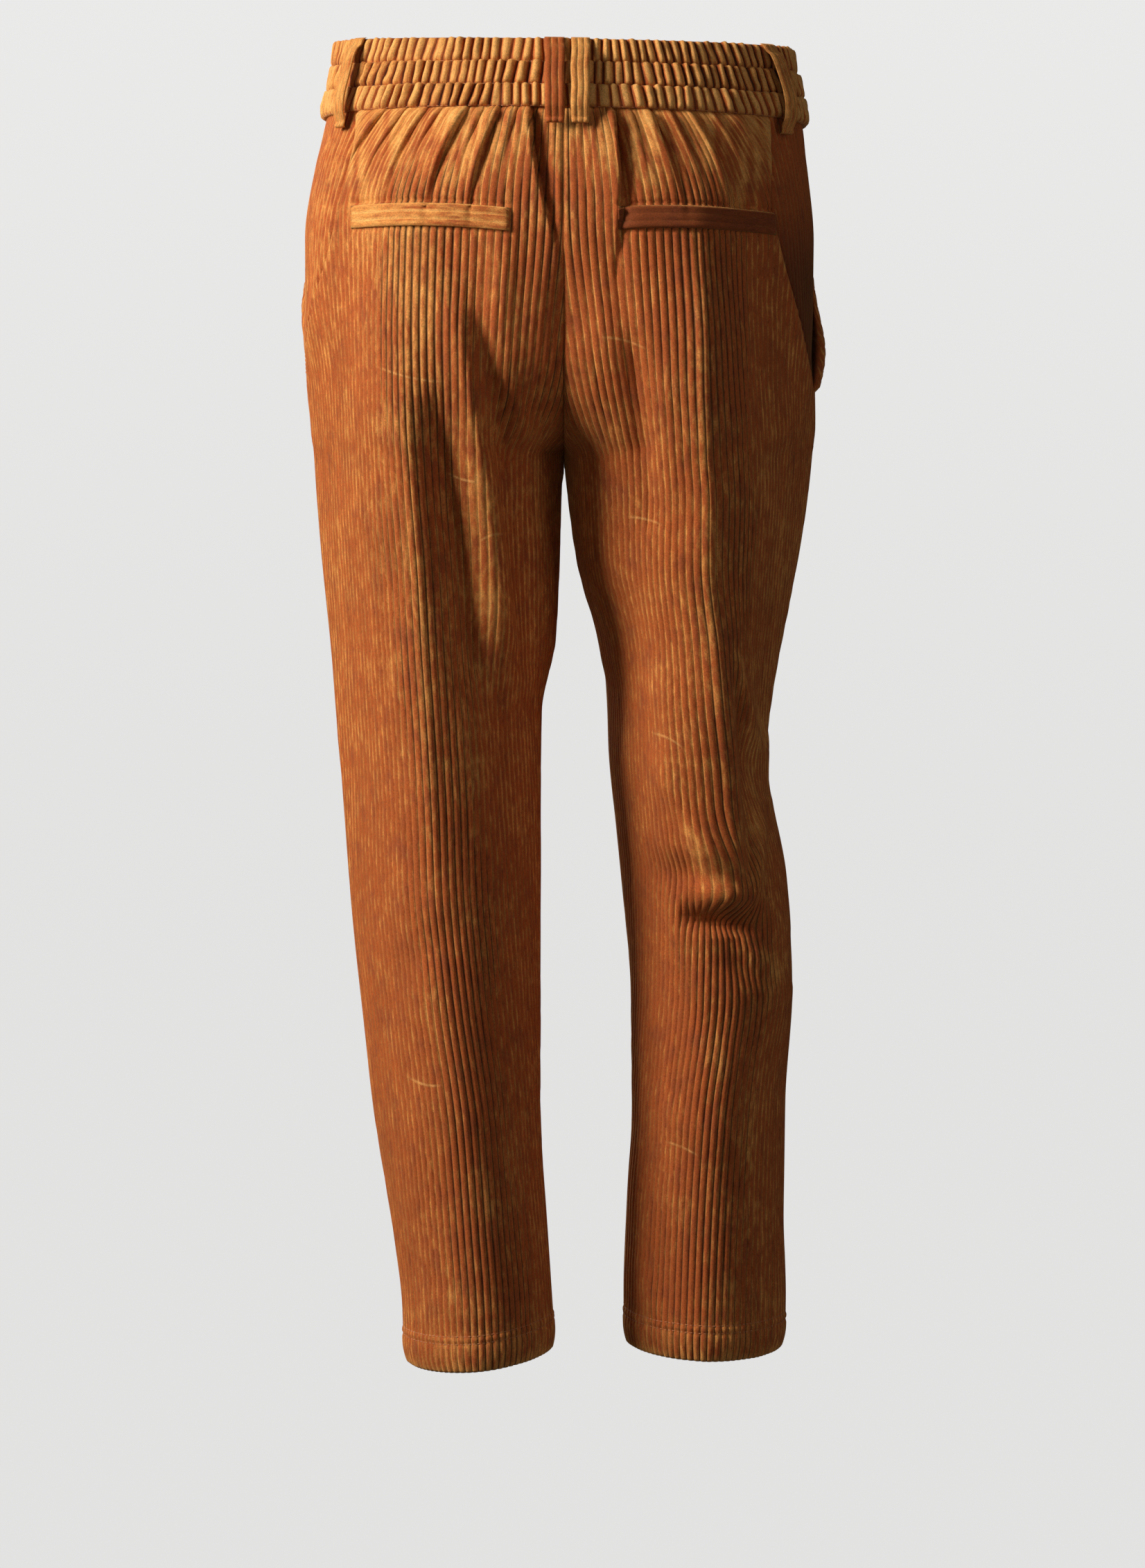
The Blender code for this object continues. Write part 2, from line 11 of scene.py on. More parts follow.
import bpy
import numpy as np
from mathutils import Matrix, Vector


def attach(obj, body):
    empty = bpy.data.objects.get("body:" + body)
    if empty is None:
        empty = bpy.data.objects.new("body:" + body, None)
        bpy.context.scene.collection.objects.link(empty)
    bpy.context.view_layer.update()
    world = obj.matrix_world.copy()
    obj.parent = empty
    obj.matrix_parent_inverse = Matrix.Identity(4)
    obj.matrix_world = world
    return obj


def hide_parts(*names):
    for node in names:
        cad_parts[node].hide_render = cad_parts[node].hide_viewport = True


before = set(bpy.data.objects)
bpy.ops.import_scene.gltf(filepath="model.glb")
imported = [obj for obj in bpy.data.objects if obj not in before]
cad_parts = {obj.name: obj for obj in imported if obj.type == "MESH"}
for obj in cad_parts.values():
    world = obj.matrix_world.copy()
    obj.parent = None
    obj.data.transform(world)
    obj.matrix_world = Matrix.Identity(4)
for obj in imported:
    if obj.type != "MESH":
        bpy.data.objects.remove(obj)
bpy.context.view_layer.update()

MM = 0.001

# --- Sizes, most of them the CAD's ---------------------------------------------------------------
WALL = 1.8  # a panel's thickness
SEAM_GAP = 0.3
BAND_TOP, BAND_BOTTOM = 27.0, -27.0
CHANNELS = 3  # rows of elastic in the waistband
CHANNEL_HEIGHT = (BAND_TOP - BAND_BOTTOM) / CHANNELS
BAND_WALL = 3.0
CHANNEL_SWELL = 2.6  # how far a channel stands out between its rows of stitches
CROTCH_Z = -258.0
POCKET_END_Z = -212.0  # where the slant pocket's mouth meets the side seam
WELT_TOP, WELT_FOOT = -88.0, -104.0
WELT_ENDS = (146.0, 37.0)  # a welt's outer and inner end, from the centre plane
LOOP_WALL = 2.2
LOOP_CLEARANCE = 5.6  # room for a belt between a loop and the band
TILT_TOP, TILT_BOTTOM = 0.01, 0.07  # how steeply the band's edges rise towards the back
WAIST_LEAN = 0.015  # and how steeply both rise towards the wearer's left
TILT_FADE = (-27.0, -190.0)  # the heights between which that runs out
HEM_FADE = (-560.0, -820.0)  # the heights between which the hems' slant sets in
ROUNDNESS = 2.15  # of a section: 2 is an ellipse, more is squarer
MOUTH_ANGLE = -30.0  # where the pocket's mouth starts at the waistband, in degrees
GAPE_DEPTH = 0.10  # the share of the front that the gaping mouth lifts

SECTION_COLUMNS = ("z", "out", "inn", "full", "mid", "back", "front", "crease")
LEFT_SECTIONS = (
    (27, 154, -154, 0, 4, 103, -96, 97),
    (-27, 166, -166, 0, 4, 117, -108, 102),
    (-60, 176, -175, 22, 3, 125, -113, 105),
    (-110, 184, -150, 42, 1, 133, -117, 108),
    (-160, 184, -100, 60, -2, 136, -118, 109),
    (-205, 181, -45, 74, -4, 132, -116, 108),
    (-240, 178, -14, 84, -5, 124, -115, 107),
    (-258, 176, 0.2, 88, -5, 118, -114, 106),
    (-290, 174, 2, 90, -5, 110, -112, 104),
    (-330, 171, 3, 89, -5, 101, -109, 101),
    (-390, 165, 6, 86, -4, 92, -101, 98),
    (-440, 161, 16, 86, -4, 86, -95, 95),
    (-500, 156, 17, 86, -2, 79, -87, 92),
    (-560, 152, 17, 85, -1, 75, -80, 90),
    (-640, 144, 17, 81, 1, 73, -70, 82),
    (-720, 135, 17, 76, 3, 69, -63, 71),
    (-800, 122, 13, 68, 3, 63, -56, 65),
    (-860, 115, 9, 62, 3, 60, -54, 61),
    (-900, 114, 6, 60, 3, 60, -54, 60),
)
RIGHT_SECTIONS = (
    (27, 155, -155, 0, 4, 103, -96, 82),
    (-27, 167, -166, 0, 4, 117, -108, 86),
    (-60, 173, -175, 22, 3, 125, -113, 89),
    (-110, 178, -150, 42, 1, 133, -117, 91),
    (-160, 178, -100, 60, -3, 136, -118, 93),
    (-205, 177, -45, 74, -7, 132, -119, 94),
    (-240, 177, -14, 84, -10, 124, -120, 96),
    (-258, 175, 0.2, 87, -12, 118, -121, 97),
    (-290, 172, 5, 88, -14, 109, -122, 99),
    (-330, 166, 12, 88, -17, 99, -123, 99),
    (-390, 154, 27, 89, -22, 85, -122, 104),
    (-440, 146, 31, 88, -25, 77, -120, 107),
    (-470, 142, 32, 87, -27, 72, -118, 109),
    (-520, 151, 37, 91, -30, 62, -113, 114),
    (-560, 158, 41, 97, -31, 56, -108, 119),
    (-640, 163, 48, 104, -29, 46, -97, 118),
    (-720, 158, 49, 102, -28, 40, -89, 109),
    (-800, 157, 45, 100, -30, 31, -86, 104),
    (-860, 159, 43, 100, -32, 26, -87, 102),
    (-900, 158, 43, 100, -33, 24, -88, 101),
)
SEAM_COLUMNS = ("z", "left", "right")
SIDE_SEAM = (
    (27, 30, 32),
    (-27, 32, 33),
    (-60, 36, 37),
    (-90, 36, 41),
    (-120, 32, 38),
    (-155, 22, 31),
    (-190, 9, 21),
    (-212, 4, 12),
    (-260, 0, 2),
    (-900, -2, -2),
)
# How much of the creases is worn out, from which height, and over what span that sets in.
CREASE_WEAR, CREASE_WEAR_Z, CREASE_WEAR_SPAN = 0.75, -470.0, 140.0
CREASE_SHARPNESS = 1.6
# The pressed creases: the heights they run between, how far they stand out, and their width.
CREASE_COLUMNS = ("top", "bottom", "height", "width")
CREASES = {
    ("left", "back"): ((-130, -899, 4, 24),),
    ("right", "back"): ((-110, -600, 8, 28), (-620, -899, 3, 20)),
    ("left", "front"): ((-60, -899, 5, 24),),
    ("right", "front"): ((-60, -899, 5, 24),),
}
# The legs' faces lie flatter than the CAD's round section on both sides of the pressed crease.
FACET_COLUMNS = ("z", "outer", "inner")
FACETS = {
    ("left", "back"): (
        (-60, 0, 0), (-120, 3.0, 1.0), (-200, 7.5, 3.0), (-300, 9.5, 5.5), (-440, 9.5, 5.5),
        (-600, 7.0, 5.0), (-760, 5.5, 4.5), (-900, 4.0, 4.0)),
    ("right", "back"): (
        (-60, 0, 0), (-100, 3.0, 1.0), (-160, 7.0, 2.5), (-300, 8.5, 5.0), (-440, 8.5, 6.0),
        (-560, 4.0, 5.0), (-620, -2.0, 4.5), (-700, 4.0, 4.5), (-900, 4.0, 4.0)),
    ("left", "front"): (
        (-60, 0, 0), (-150, 3.0, 2.0), (-300, 8.0, 6.0), (-560, 7.0, 6.0), (-900, 4.0, 4.0)),
    ("right", "front"): (
        (-60, 0, 0), (-150, 3.0, 2.0), (-300, 8.0, 6.0), (-560, 7.0, 6.0), (-900, 4.0, 4.0)),
}
FACET_REACH = 0.86  # the share of the way to the seam that a face takes
RIDGE_RADIUS = 9.0  # how softly the faces meet at the crease
# The large folds, from (x1, z1) to (x2, z2), x being the distance from the centre plane.
FOLD_COLUMNS = ("z1", "x1", "z2", "x2", "height", "width")
FOLDS = {
    ("left", "back"): ((-195, 89, -450, 56, -9, 17), (-130, 78, -440, 34, 6, 13)),
    ("right", "back"): (
        (-170, 50, -330, 78, -4, 18), (-390, 60, -560, 112, 3, 20), (-530, 74, -640, 150, -8, 26),
    ),
    ("left", "front"): ((-150, 120, -250, 40, 4, 18), (-500, 120, -560, 50, -4, 18)),
    ("right", "front"): ((-160, 118, -255, 42, 4, 18), (-470, 60, -530, 126, -5, 18)),
}
MOUTH_RIBS = 2.0  # ribs on the turned-in strip along the pocket's mouth
MOUTH_PAINTED_SHADE = {"left": 0.0, "right": -1.0}  # painted shade on the strip's inner edge, on the right
FACING_PILE_AND_PAINTED_SHADE = {"left": (0.15, 0.15), "right": (-0.22, -0.62)}  # the pile's tone at the waistband, and lower down; the right facing's values below zero are painted shade
# Where a pocket's mouth gapes: its middle's height, how far it stands away, and its reach.
GAPE_COLUMNS = ("z", "height", "reach")
GAPES = {"left": (-150, 4.0, 28), "right": (-189, 7.0, 30)}
# A belt loop's name, its place round the waist from the centre back, its width, how far its middle
# bows sideways, and the painted light on its pile: painted highlight above zero, painted shade below.
LOOPS = (
    ("belt_loop_back_left", -6.0, 13.4, 0.0, -0.22),
    ("belt_loop_back_right", 11.0, 12.6, 0.0, 0.58),
    ("belt_loop_side_left", -156.0, 10.4, 0.0, 0.58),
    ("belt_loop_side_right", 155.0, 12.4, 4.0, 0.40),
    ("belt_loop_front_left", -320.0, 14.0, 0.0, 0.30),
    ("belt_loop_front_right", 320.0, 14.0, 0.0, 0.20),
)
LEGS = {
    "left": {"sign": 1, "table": LEFT_SECTIONS, "hem": -900.0, "lean": 0.10, "back": 0.06},
    "right": {"sign": -1, "table": RIGHT_SECTIONS, "hem": -899.0, "lean": 0.03, "back": 0.06},
}

# --- The cloth -----------------------------------------------------------------------------------
WALE = 5.05  # pitch of the corduroy's ribs
WALE_HEIGHT = 1.15  # from a groove's floor to a rib's crown
CROWN = 0.35  # how far a crown stands off the CAD surface
WALE_STEPS = (0.0, 0.09, 0.27, 0.5, 0.73, 0.91)  # a rib's columns, as shares of the pitch
TRACE_STEPS = 520  # points of the fine line that a section is traced with
ROW_STEP, FINE_STEP = 3.8, 1.3  # between a panel's rows: in general, and at the welts and hems
WAIST_LEVELS = (-25.0, -27.2, -28.4, -30.0, -32.0)  # a panel's rows at the waist seam
EDGE_LEVELS = (1.8, 1.1, 0.5, 0.12, 0.0)  # its last rows, above the hem's edge
SEAM_WIDTH = 2.6  # how far from a seam the cloth is drawn in
SEAM_DIPS = (1.35, 1.1)  # how deep, on a panel's outer and inner side
FACING_DIPS = (1.3, 0.8)
RIB_END = 3.0  # the ribs flatten out this close to a seam
BAND_TUCK = 1.2  # how much deeper the panels' tops lie behind the waistband
WAIST_SWELL, WAIST_SWELL_REACH = 2.2, 26.0  # how far the cloth stands out below the band
GROOVE_WIDTH = 1.1  # of a pressed row of stitches
FAR = 1e3  # a distance from a seam at which it has no effect
# A panel's inner edge is drawn onto the centre plane: from how far below the crotch, over what
# height that sets in, and over what width.
CLOSING_REACH, CLOSING_SPAN, CLOSING_WIDTH = 26, 22, 6
# Slow waves in every face, and dimples over them: height, and their size across and down.
WAVES, DIMPLES = (0.9, 46, 95), (0.35, 15, 44)

# How much each thing adds to the ribs' opening, which deepens the ribs and sets the painted shade on the
# grooves' floors, partly the bare weave there; that shade is darkest from 0.75 on.
# Along a crease the middle of the open ribs lies to one side, by CREASE_SHIFT.
OPENING, OPENING_PATCHES, OPENING_SPECKS = 0.18, 0.34, 0.22
CREASE_OPENING, CREASE_SHIFT = 0.75, 12.0
SEAT_OPENING, CALF_OPENING, KNEE_OPENING = 0.50, 0.28, 0.8
WIDEST_OPENING = 1.2

# How much each thing adds to the gold of the pile, partly its own tone and partly painted highlight;
# below zero it is painted shade.
# Raised folds: painted highlight, partly wear; troughs: painted shade.
RAISED_GOLD, RAISED_LIMIT = 0.012, 4  # for each mm that a fold stands out, up to so many
# Creases: brushed pile and painted highlight; faces turned from the key light and the gathered cloth:
# painted highlight; seams and hems: paler.
CREASE_GOLD, TURNED_GOLD, GATHERED_GOLD, SEAM_GOLD = 0.07, 0.13, 0.32, 0.15
HEM_GOLD, HEM_EDGE_GOLD = 0.26, 0.35
GATHER_MOTTLE, MOTTLE = 0.42, 0.10
# Painted shade on the lower legs; the right leg a little darker all over.
LOWER_LEG_PAINTED_SHADE, RIGHT_LEG_DUSK = 0.14, 0.04

# --- Gathers under the waistband -----------------------------------------------------------------
GATHER_Z = -95.0  # below this the ribs hang straight
GATHER_SQUEEZE = 0.27  # how much closer to the centre seam the ribs lie at the waistband
# A gather is a soft fold that runs down along the ribs: a broad face that rises to an edge, then
# drops into a valley. at: the edge's place, as the length of flat cloth from the centre seam.
# drift: how far it moves outwards on its way. side: 1 if the drop is on the outer side, else -1.
GATHER_COLUMNS = ("at", "height", "depth", "width", "reach", "drift", "side")
GATHERS = {
    ("left", "back"): (
        (33, 5.0, 11.0, 12, 128, -37, -1), (46, 2.6, 1.8, 9, 58, 2, -1),
        (62, 4.6, 5.0, 10, 92, 7, -1), (76, 2.0, 1.2, 8, 46, 4, -1), (92, 5.2, 3.4, 12, 92, 8, -1),
        (116, 1.8, 1.0, 8, 44, 3, -1), (131, 3.0, 1.6, 10, 76, 2, -1),
        (153, 2.0, 1.2, 9, 52, 0, -1), (176, 3.0, 1.8, 11, 74, 0, -1),
        (203, 2.4, 1.2, 10, 60, 0, -1),
    ),
    ("right", "back"): (
        (44, 5.0, 11.0, 13, 128, -13, 1), (60, 2.4, 1.6, 9, 52, 2, 1), (78, 4.2, 4.6, 11, 80, 4, 1),
        (97, 3.0, 2.0, 10, 58, 4, 1), (117, 4.4, 3.0, 12, 86, 4, 1), (140, 3.0, 2.0, 10, 60, 3, 1),
        (163, 3.8, 2.2, 12, 80, 2, 1), (190, 2.8, 1.6, 11, 66, 0, 1), (214, 2.2, 1.2, 10, 54, 0, 1),
    ),
    ("left", "front"): (
        (26, 2.4, 1.8, 9, 62, 0, -1), (52, 3.6, 2.4, 11, 84, 3, -1), (74, 2.2, 1.4, 9, 58, 2, -1),
        (98, 3.8, 2.4, 12, 90, 4, 1), (126, 2.8, 1.6, 10, 66, 2, 1),
    ),
    ("right", "front"): (
        (22, 3.0, 2.0, 9, 70, 0, 1), (47, 2.4, 1.6, 9, 60, 2, 1), (70, 3.9, 2.6, 12, 88, 3, 1),
        (95, 2.6, 1.6, 10, 62, 2, -1), (121, 3.4, 2.2, 11, 80, 3, -1),
    ),
}
GATHER_DROP = 3.2  # the width of a fold's steep side
GATHER_END = 110  # below the band, where every gather has run out
RIPPLE_PITCH = 10.5  # the small gathers between the table's
RIPPLE_HEIGHT = 1.5
RIPPLE_REACH, RIPPLE_SPREAD = 58, 22  # how far down they run, and how much that varies

# How far the ribs move to the centre seam between crotch and gathers: next to it, and at the hip.
SEAT_LEAN, HIP_LEAN, HIP_REACH = 14.0, 11.0, 140.0
# The ribs above the right knee's fold slant outwards, and come back in the fold.
KNEE_TOP, KNEE_FOLD, KNEE_DROP = -500.0, -568.0, 17.0
KNEE_PLACE, KNEE_WIDTH, KNEE_DRIFT = 0.0, 22.0, 10.0
# At the centre seam the seat's cloth sinks into a valley, and lower down it bridges the cleft.
SEAT_VALLEY = {"left": 12.0, "right": 27.0}  # half width
VALLEY_DEPTH, BRIDGE_HEIGHT, BRIDGE_Z = 5.0, 4.0, -160.0

# --- Small folds ---------------------------------------------------------------------------------
# Each runs from (x1, z1) to (x2, z2), x being the distance from the centre plane, and may bow
# sideways in its middle. height: how far it stands out, below zero for a trough. width: half its
# width.
CRUMPLE_COLUMNS = ("x1", "z1", "x2", "z2", "height", "width", "bow")
CRUMPLES = {
    ("left", "back"): (
        (62, -152, 36, -262, -5.5, 10, 0), (38, -235, 20, -400, -6.5, 11, 0),
        (40, -110, 44, -170, 3.0, 9, 0), (72, -160, 33, -385, 4.6, 8, 0),
        (88, -225, 56, -400, -4.8, 10, 0), (46, -190, 14, -250, 2.4, 8, 0),
        (34, -200, 8, -255, -2.6, 7, 0), (48, -380, 40, -520, -3.0, 11, 3),
        (150, -300, 100, -330, 0.9, 10, 0), (108, -560, 60, -600, 1.6, 13, 4),
        (120, -620, 76, -585, -1.5, 12, 0), (100, -700, 50, -730, 1.2, 12, 3),
        (96, -845, 58, -862, 1.3, 8, 0),
    ),
    ("right", "back"): (
        (17, -222, 27, -400, 6.5, 15, 0), (30, -120, 48, -200, -3.0, 10, 0),
        (46, -180, 57, -300, -4.0, 8, 2), (66, -200, 74, -300, 2.4, 9, 0),
        (148, -165, 166, -270, 2.2, 7, 0), (40, -360, 58, -470, -2.6, 11, 0),
        (62, -470, 116, -548, 4.2, 8, 6), (72, -500, 98, -556, -2.6, 8, 0),
        (104, -380, 120, -556, 3.4, 8, -3), (120, -400, 131, -545, -4.5, 8, 0),
        (90, -525, 112, -560, 5.0, 12, 0), (90, -562, 126, -570, 9.0, 10, 0),
        (86, -583, 134, -591, -11.0, 7, 0), (132, -606, 148, -622, 4.5, 8, 0),
        (122, -400, 143, -504, 5.5, 5, -4), (144, -508, 134, -566, 5.0, 5, 0),
        (134, -470, 150, -520, -3.0, 6, 0), (68, -560, 82, -610, 2.0, 8, 0),
        (96, -605, 100, -700, 2.0, 12, 0), (84, -640, 128, -676, -2.2, 12, 0),
        (64, -716, 108, -742, 1.8, 12, 0), (54, -836, 66, -876, 2.0, 7, 0),
        (130, -790, 150, -830, 1.2, 10, 0),
    ),
    ("left", "front"): (
        (34, -128, 52, -220, 2.6, 9, 3), (20, -190, 60, -262, -3.0, 10, 0),
        (140, -250, 112, -340, 2.2, 11, 0), (52, -470, 118, -500, 3.2, 11, 5),
        (124, -540, 60, -590, 3.0, 12, 0), (58, -620, 108, -650, -2.2, 12, 0),
        (96, -800, 44, -828, 1.6, 12, 0),
    ),
    ("right", "front"): (
        (30, -130, 46, -215, 2.4, 9, 0), (22, -200, 62, -270, -3.0, 10, 0),
        (150, -300, 118, -420, 2.4, 11, 0), (56, -500, 138, -520, 3.6, 12, 6),
        (140, -560, 70, -600, 3.2, 12, 0), (66, -640, 130, -668, -2.4, 13, 0),
        (140, -800, 80, -830, 1.6, 12, 0),
    ),
}

# --- Brushed pile and painted light ---------------------------------------------------------------
# Streaks where the pile has been brushed or worn paler, with painted highlights, placed like the small
# folds; those below zero are darker, the strongest as painted shade in the valleys beside the centre
# seam.
STREAK_COLUMNS = ("x1", "z1", "x2", "z2", "strength", "width", "bow")
STREAKS_OF_PILE_AND_PAINTED_LIGHT = {
    ("left", "back"): (
        (84, -815, 82, -855, 0.38, 12, 0), (58, -752, 56, -795, 0.36, 9, 0),
        (54, -832, 52, -874, 0.34, 9, 0), (72, -785, 66, -815, -0.22, 12, 0),
        (21, -30, 8, -84, -0.75, 3.4, 0), (84, -108, 84, -165, 0.35, 24, 0),
        (100, -150, 96, -230, 0.30, 16, 0), (40, -700, 34, -840, 0.18, 10, 0),
        (150, -232, 95, -238, 0.16, 22, 0), (150, -100, 60, -104, 0.32, 14, 0),
        (140, -120, 104, -150, 0.24, 16, 0), (100, -330, 92, -520, 0.24, 7, 0),
        (62, -270, 48, -400, 0.21, 9, 2), (30, -120, 26, -200, 0.21, 9, 0),
        (96, -560, 80, -720, 0.21, 9, 0), (66, -470, 58, -640, 0.17, 9, 0),
    ),
    ("right", "back"): (
        (76, -770, 84, -812, 0.30, 11, 0), (112, -830, 114, -872, 0.30, 12, 0),
        (84, -520, 112, -568, 0.55, 10, 0), (74, -480, 112, -545, 0.20, 5, 6),
        (98, -604, 142, -614, 0.50, 14, 0), (104, -600, 112, -700, 0.30, 14, 0),
        (148, -590, 150, -640, 0.40, 8, 0), (38, -34, 38, -84, -0.75, 3.4, 0),
        (130, -420, 140, -570, 0.45, 10, 5), (130, -650, 132, -860, 0.22, 12, 0),
        (92, -120, 94, -260, 0.16, 7, 0), (98, -300, 106, -440, 0.16, 7, 0),
        (40, -70, 36, -110, 0.17, 10, 0), (108, -620, 106, -800, 0.21, 8, 0),
        (130, -430, 140, -490, 0.21, 8, -3),
    ),
    ("left", "front"): ((104, -200, 96, -470, 0.24, 10, 0), (86, -500, 84, -560, 0.24, 18, 0)),
    ("right", "front"): ((98, -200, 112, -470, 0.24, 10, 0), (118, -500, 112, -570, 0.24, 18, 0)),
}

# Thin pale arcs where a fold was once pressed flat; bow is how far the middle sags.
ARC_COLUMNS = ("x1", "z1", "x2", "z2", "bow")
ARCS = {
    ("left", "back"): (
        (132, -194, 78, -206, -3), (82, -268, 56, -275, -2), (60, -318, 40, -312, 3),
        (112, -688, 84, -694, -3),
    ),
    ("right", "back"): (
        (24, -176, 60, -186, 3), (42, -300, 70, -306, 2), (60, -452, 84, -462, 3),
        (70, -742, 96, -750, 2),
    ),
    ("left", "front"): ((60, -300, 110, -308, 3),),
    ("right", "front"): ((56, -420, 104, -428, 3),),
}
ARC_HALF = 1.5  # half an arc's width

# --- Welts, facings and belt loops ---------------------------------------------------------------
STRIP_RIBS = 3  # ribs in a welt or a loop
WELT_SAGS = {"left": (5.0, 2.5), "right": (3.4, 4.5)}  # at a welt's inner and outer end
WELT_PAINTED_LIGHT = {"left": (0.34, 0.30), "right": (-0.50, 0.0)}  # painted light at a welt's inner end, and what the outer end adds: highlight on the left welt, shade at the right one's inner end
SAG_SPAN = 8.0  # between the two sections that a welt's sag is taken from
FACING_TUCK = 7  # how far a facing reaches in under the front, in degrees
FACING_RIBS = 30  # ribs laid out on each side of the pocket mouth's lower end
LOOP_ROWS = 64
LOOP_SEAM_Z = -34.6  # the pressed line of stitches near a loop's foot

# --- Hems ----------------------------------------------------------------------------------------
HEM_TURN = 29.0  # the height of the turned-up cloth
HEM_DOUBLE = 0.7  # how far it stands out
HEM_ROWS, HEM_GROOVE = (21.3, 26.8), 0.75  # the stitch rows' heights above the edge, and their depth
HEM_CURL, CURL_REACH = 3.2, 17  # how far the edge curls in, and from how high
HEM_LIP, LIP_REACH = 1.3, 2.2  # how its last millimetres round off
STITCH_PITCH = 3.3
STITCH_GAP, THREAD_RADIUS = 0.18, 0.33
BAND_STITCH_GAP, BAND_THREAD_RADIUS = 0.22, 0.3

# --- Waistband -----------------------------------------------------------------------------------
PUCKERS = 126  # round the waist
INNER_STEP = 5  # the band's inner face has every fifth column
PUCKER_STEPS = (0.0, 0.06, 0.14, 0.27, 0.42, 0.58, 0.73, 0.85, 0.93, 0.975)
PUCKER_DEPTH = 3.4
STITCHED_CHANNELS = (1, 2, 2.97)  # where the rows of stitches run, in channels from the top
WAIST_TUCK = 5.8  # how far the waist seam's allowance reaches in, over the panels' tops
# A channel's section: the share of its height from the top, how far the puckers reach out there,
# and how far their rounded tops rise over the channel above, in mm.
CHANNEL_PROFILE = (
    (0.00, 0.00, 0.0),
    (0.02, 0.34, 1.1),
    (0.05, 0.66, 2.0),
    (0.09, 0.86, 2.2),
    (0.15, 0.97, 1.7),
    (0.25, 1.00, 0.8),
    (0.38, 1.00, 0.2),
    (0.52, 1.00, 0.0),
    (0.66, 0.98, 0.0),
    (0.79, 0.90, 0.0),
    (0.88, 0.72, 0.0),
    (0.94, 0.46, 0.0),
    (0.98, 0.20, 0.0),
)

rng = np.random.default_rng(40)
LATTICE = rng.random((64, 64))


def column(rows, names, name):
    """One named column of a table."""
    return np.array([row[names.index(name)] for row in rows], float)


def smooth(z, levels, values):
    """A smooth curve through a table's values, which never swings past them."""
    order = np.argsort(levels)
    x, y = levels[order], values[order]
    step = np.diff(x)
    grade = np.diff(y) / step
    slope = np.zeros_like(y)
    slope[0], slope[-1] = grade[0], grade[-1]
    same_way = grade[:-1] * grade[1:] > 0
    mean = 2 * grade[:-1] * grade[1:] / np.where(same_way, grade[:-1] + grade[1:], 1)
    slope[1:-1] = np.where(same_way, mean, 0)
    at = np.clip(z, x[0], x[-1])
    i = np.clip(np.searchsorted(x, at, side="right") - 1, 0, len(step) - 1)
    t = (at - x[i]) / step[i]
    return ((1 + 2 * t) * (1 - t) ** 2 * y[i] + t * (1 - t) ** 2 * step[i] * slope[i]
            + t * t * (3 - 2 * t) * y[i + 1] + t * t * (t - 1) * step[i] * slope[i + 1])


def ease(t):
    """0 to 1, with no corner at either end."""
    t = np.clip(t, 0.0, 1.0)
    return t * t * (3 - 2 * t)


def rise(value, start, span):
    """0 up to start, 1 from start + span on, with no corner; a span below zero runs down."""
    return ease((value - start) / span)


def bell(off, width):
    """1 where off is 0, fading to both sides over about the width."""
    return np.exp(-(off / width) ** 2)


def named(table, names, panel):
    """A table's rows for a panel (leg, face), with their numbers by name."""
    return [dict(zip(names, row)) for row in table[panel]]


def noise(x, y, seed=0):
    """Smooth noise from -1 to 1 that varies over lengths of about 1."""
    x = np.asarray(x, float) + 17.3 * seed
    y = np.asarray(y, float) + 9.1 * seed
    column_at, row_at = np.floor(x), np.floor(y)
    s, t = ease(x - column_at), ease(y - row_at)
    i, j = column_at.astype(int), row_at.astype(int)
    corner = [LATTICE[(i + a) % 64, (j + b) % 64] for a, b in ((0, 0), (1, 0), (0, 1), (1, 1))]
    low = corner[0] + (corner[1] - corner[0]) * s
    high = corner[2] + (corner[3] - corner[2]) * s
    return 2 * (low + (high - low) * t) - 1


# --- The CAD's sections --------------------------------------------------------------------------
def shape_at(leg, z):
    """The section's measures at height z, by name."""
    table = LEGS[leg]["table"]
    levels = column(table, SECTION_COLUMNS, "z")
    return {name: float(smooth(z, levels, column(table, SECTION_COLUMNS, name)))
            for name in SECTION_COLUMNS[1:]}


def side_angle(leg, z):
    """The side seam's angle at height z, in radians."""
    levels = column(SIDE_SEAM, SEAM_COLUMNS, "z")
    return np.radians(float(smooth(z, levels, column(SIDE_SEAM, SEAM_COLUMNS, leg))))


def mouth_angle(leg, z):
    """The slant pocket's mouth, from the waistband down to the side seam."""
    end = side_angle(leg, POCKET_END_Z)
    share = (z - POCKET_END_Z) / (BAND_BOTTOM - POCKET_END_Z)
    return end + (np.radians(MOUTH_ANGLE) - end) * np.clip(share, 0, 1) ** 0.8


def lobe(shape, angle):
    """Points (distance from centre, y) on a section; the angle is from straight out to the back."""
    c, s = np.cos(angle), np.sin(angle)
    power = 2 / ROUNDNESS
    reach = np.where(c >= 0, shape["out"] - shape["full"], shape["full"] - shape["inn"])
    depth = np.where(s >= 0, shape["back"] - shape["mid"], shape["mid"] - shape["front"])
    x = shape["full"] + reach * np.sign(c) * np.abs(c) ** power
    y = shape["mid"] + depth * np.sign(s) * np.abs(s) ** power
    return np.stack([x, y], axis=-1)


def centre_angle(shape):
    """The angle where the lobe meets the centre plane, or half a turn below the crotch."""
    if shape["inn"] >= 0:
        return np.pi
    share = shape["full"] / (shape["full"] - shape["inn"])
    return np.pi - np.arccos(np.clip(share, 0, 1) ** (ROUNDNESS / 2))


def outward(points, turn):
    """Unit normals of a section's line, pointing away from the leg."""
    run = np.gradient(points, axis=0)
    normals = np.stack([run[:, 1], -run[:, 0]], axis=1) * turn
    return normals / np.linalg.norm(normals, axis=1)[:, None]


def lengths(points):
    """The length along a line at each of its points."""
    steps = np.linalg.norm(np.diff(points, axis=0), axis=1)
    return np.concatenate([[0], np.cumsum(steps)])


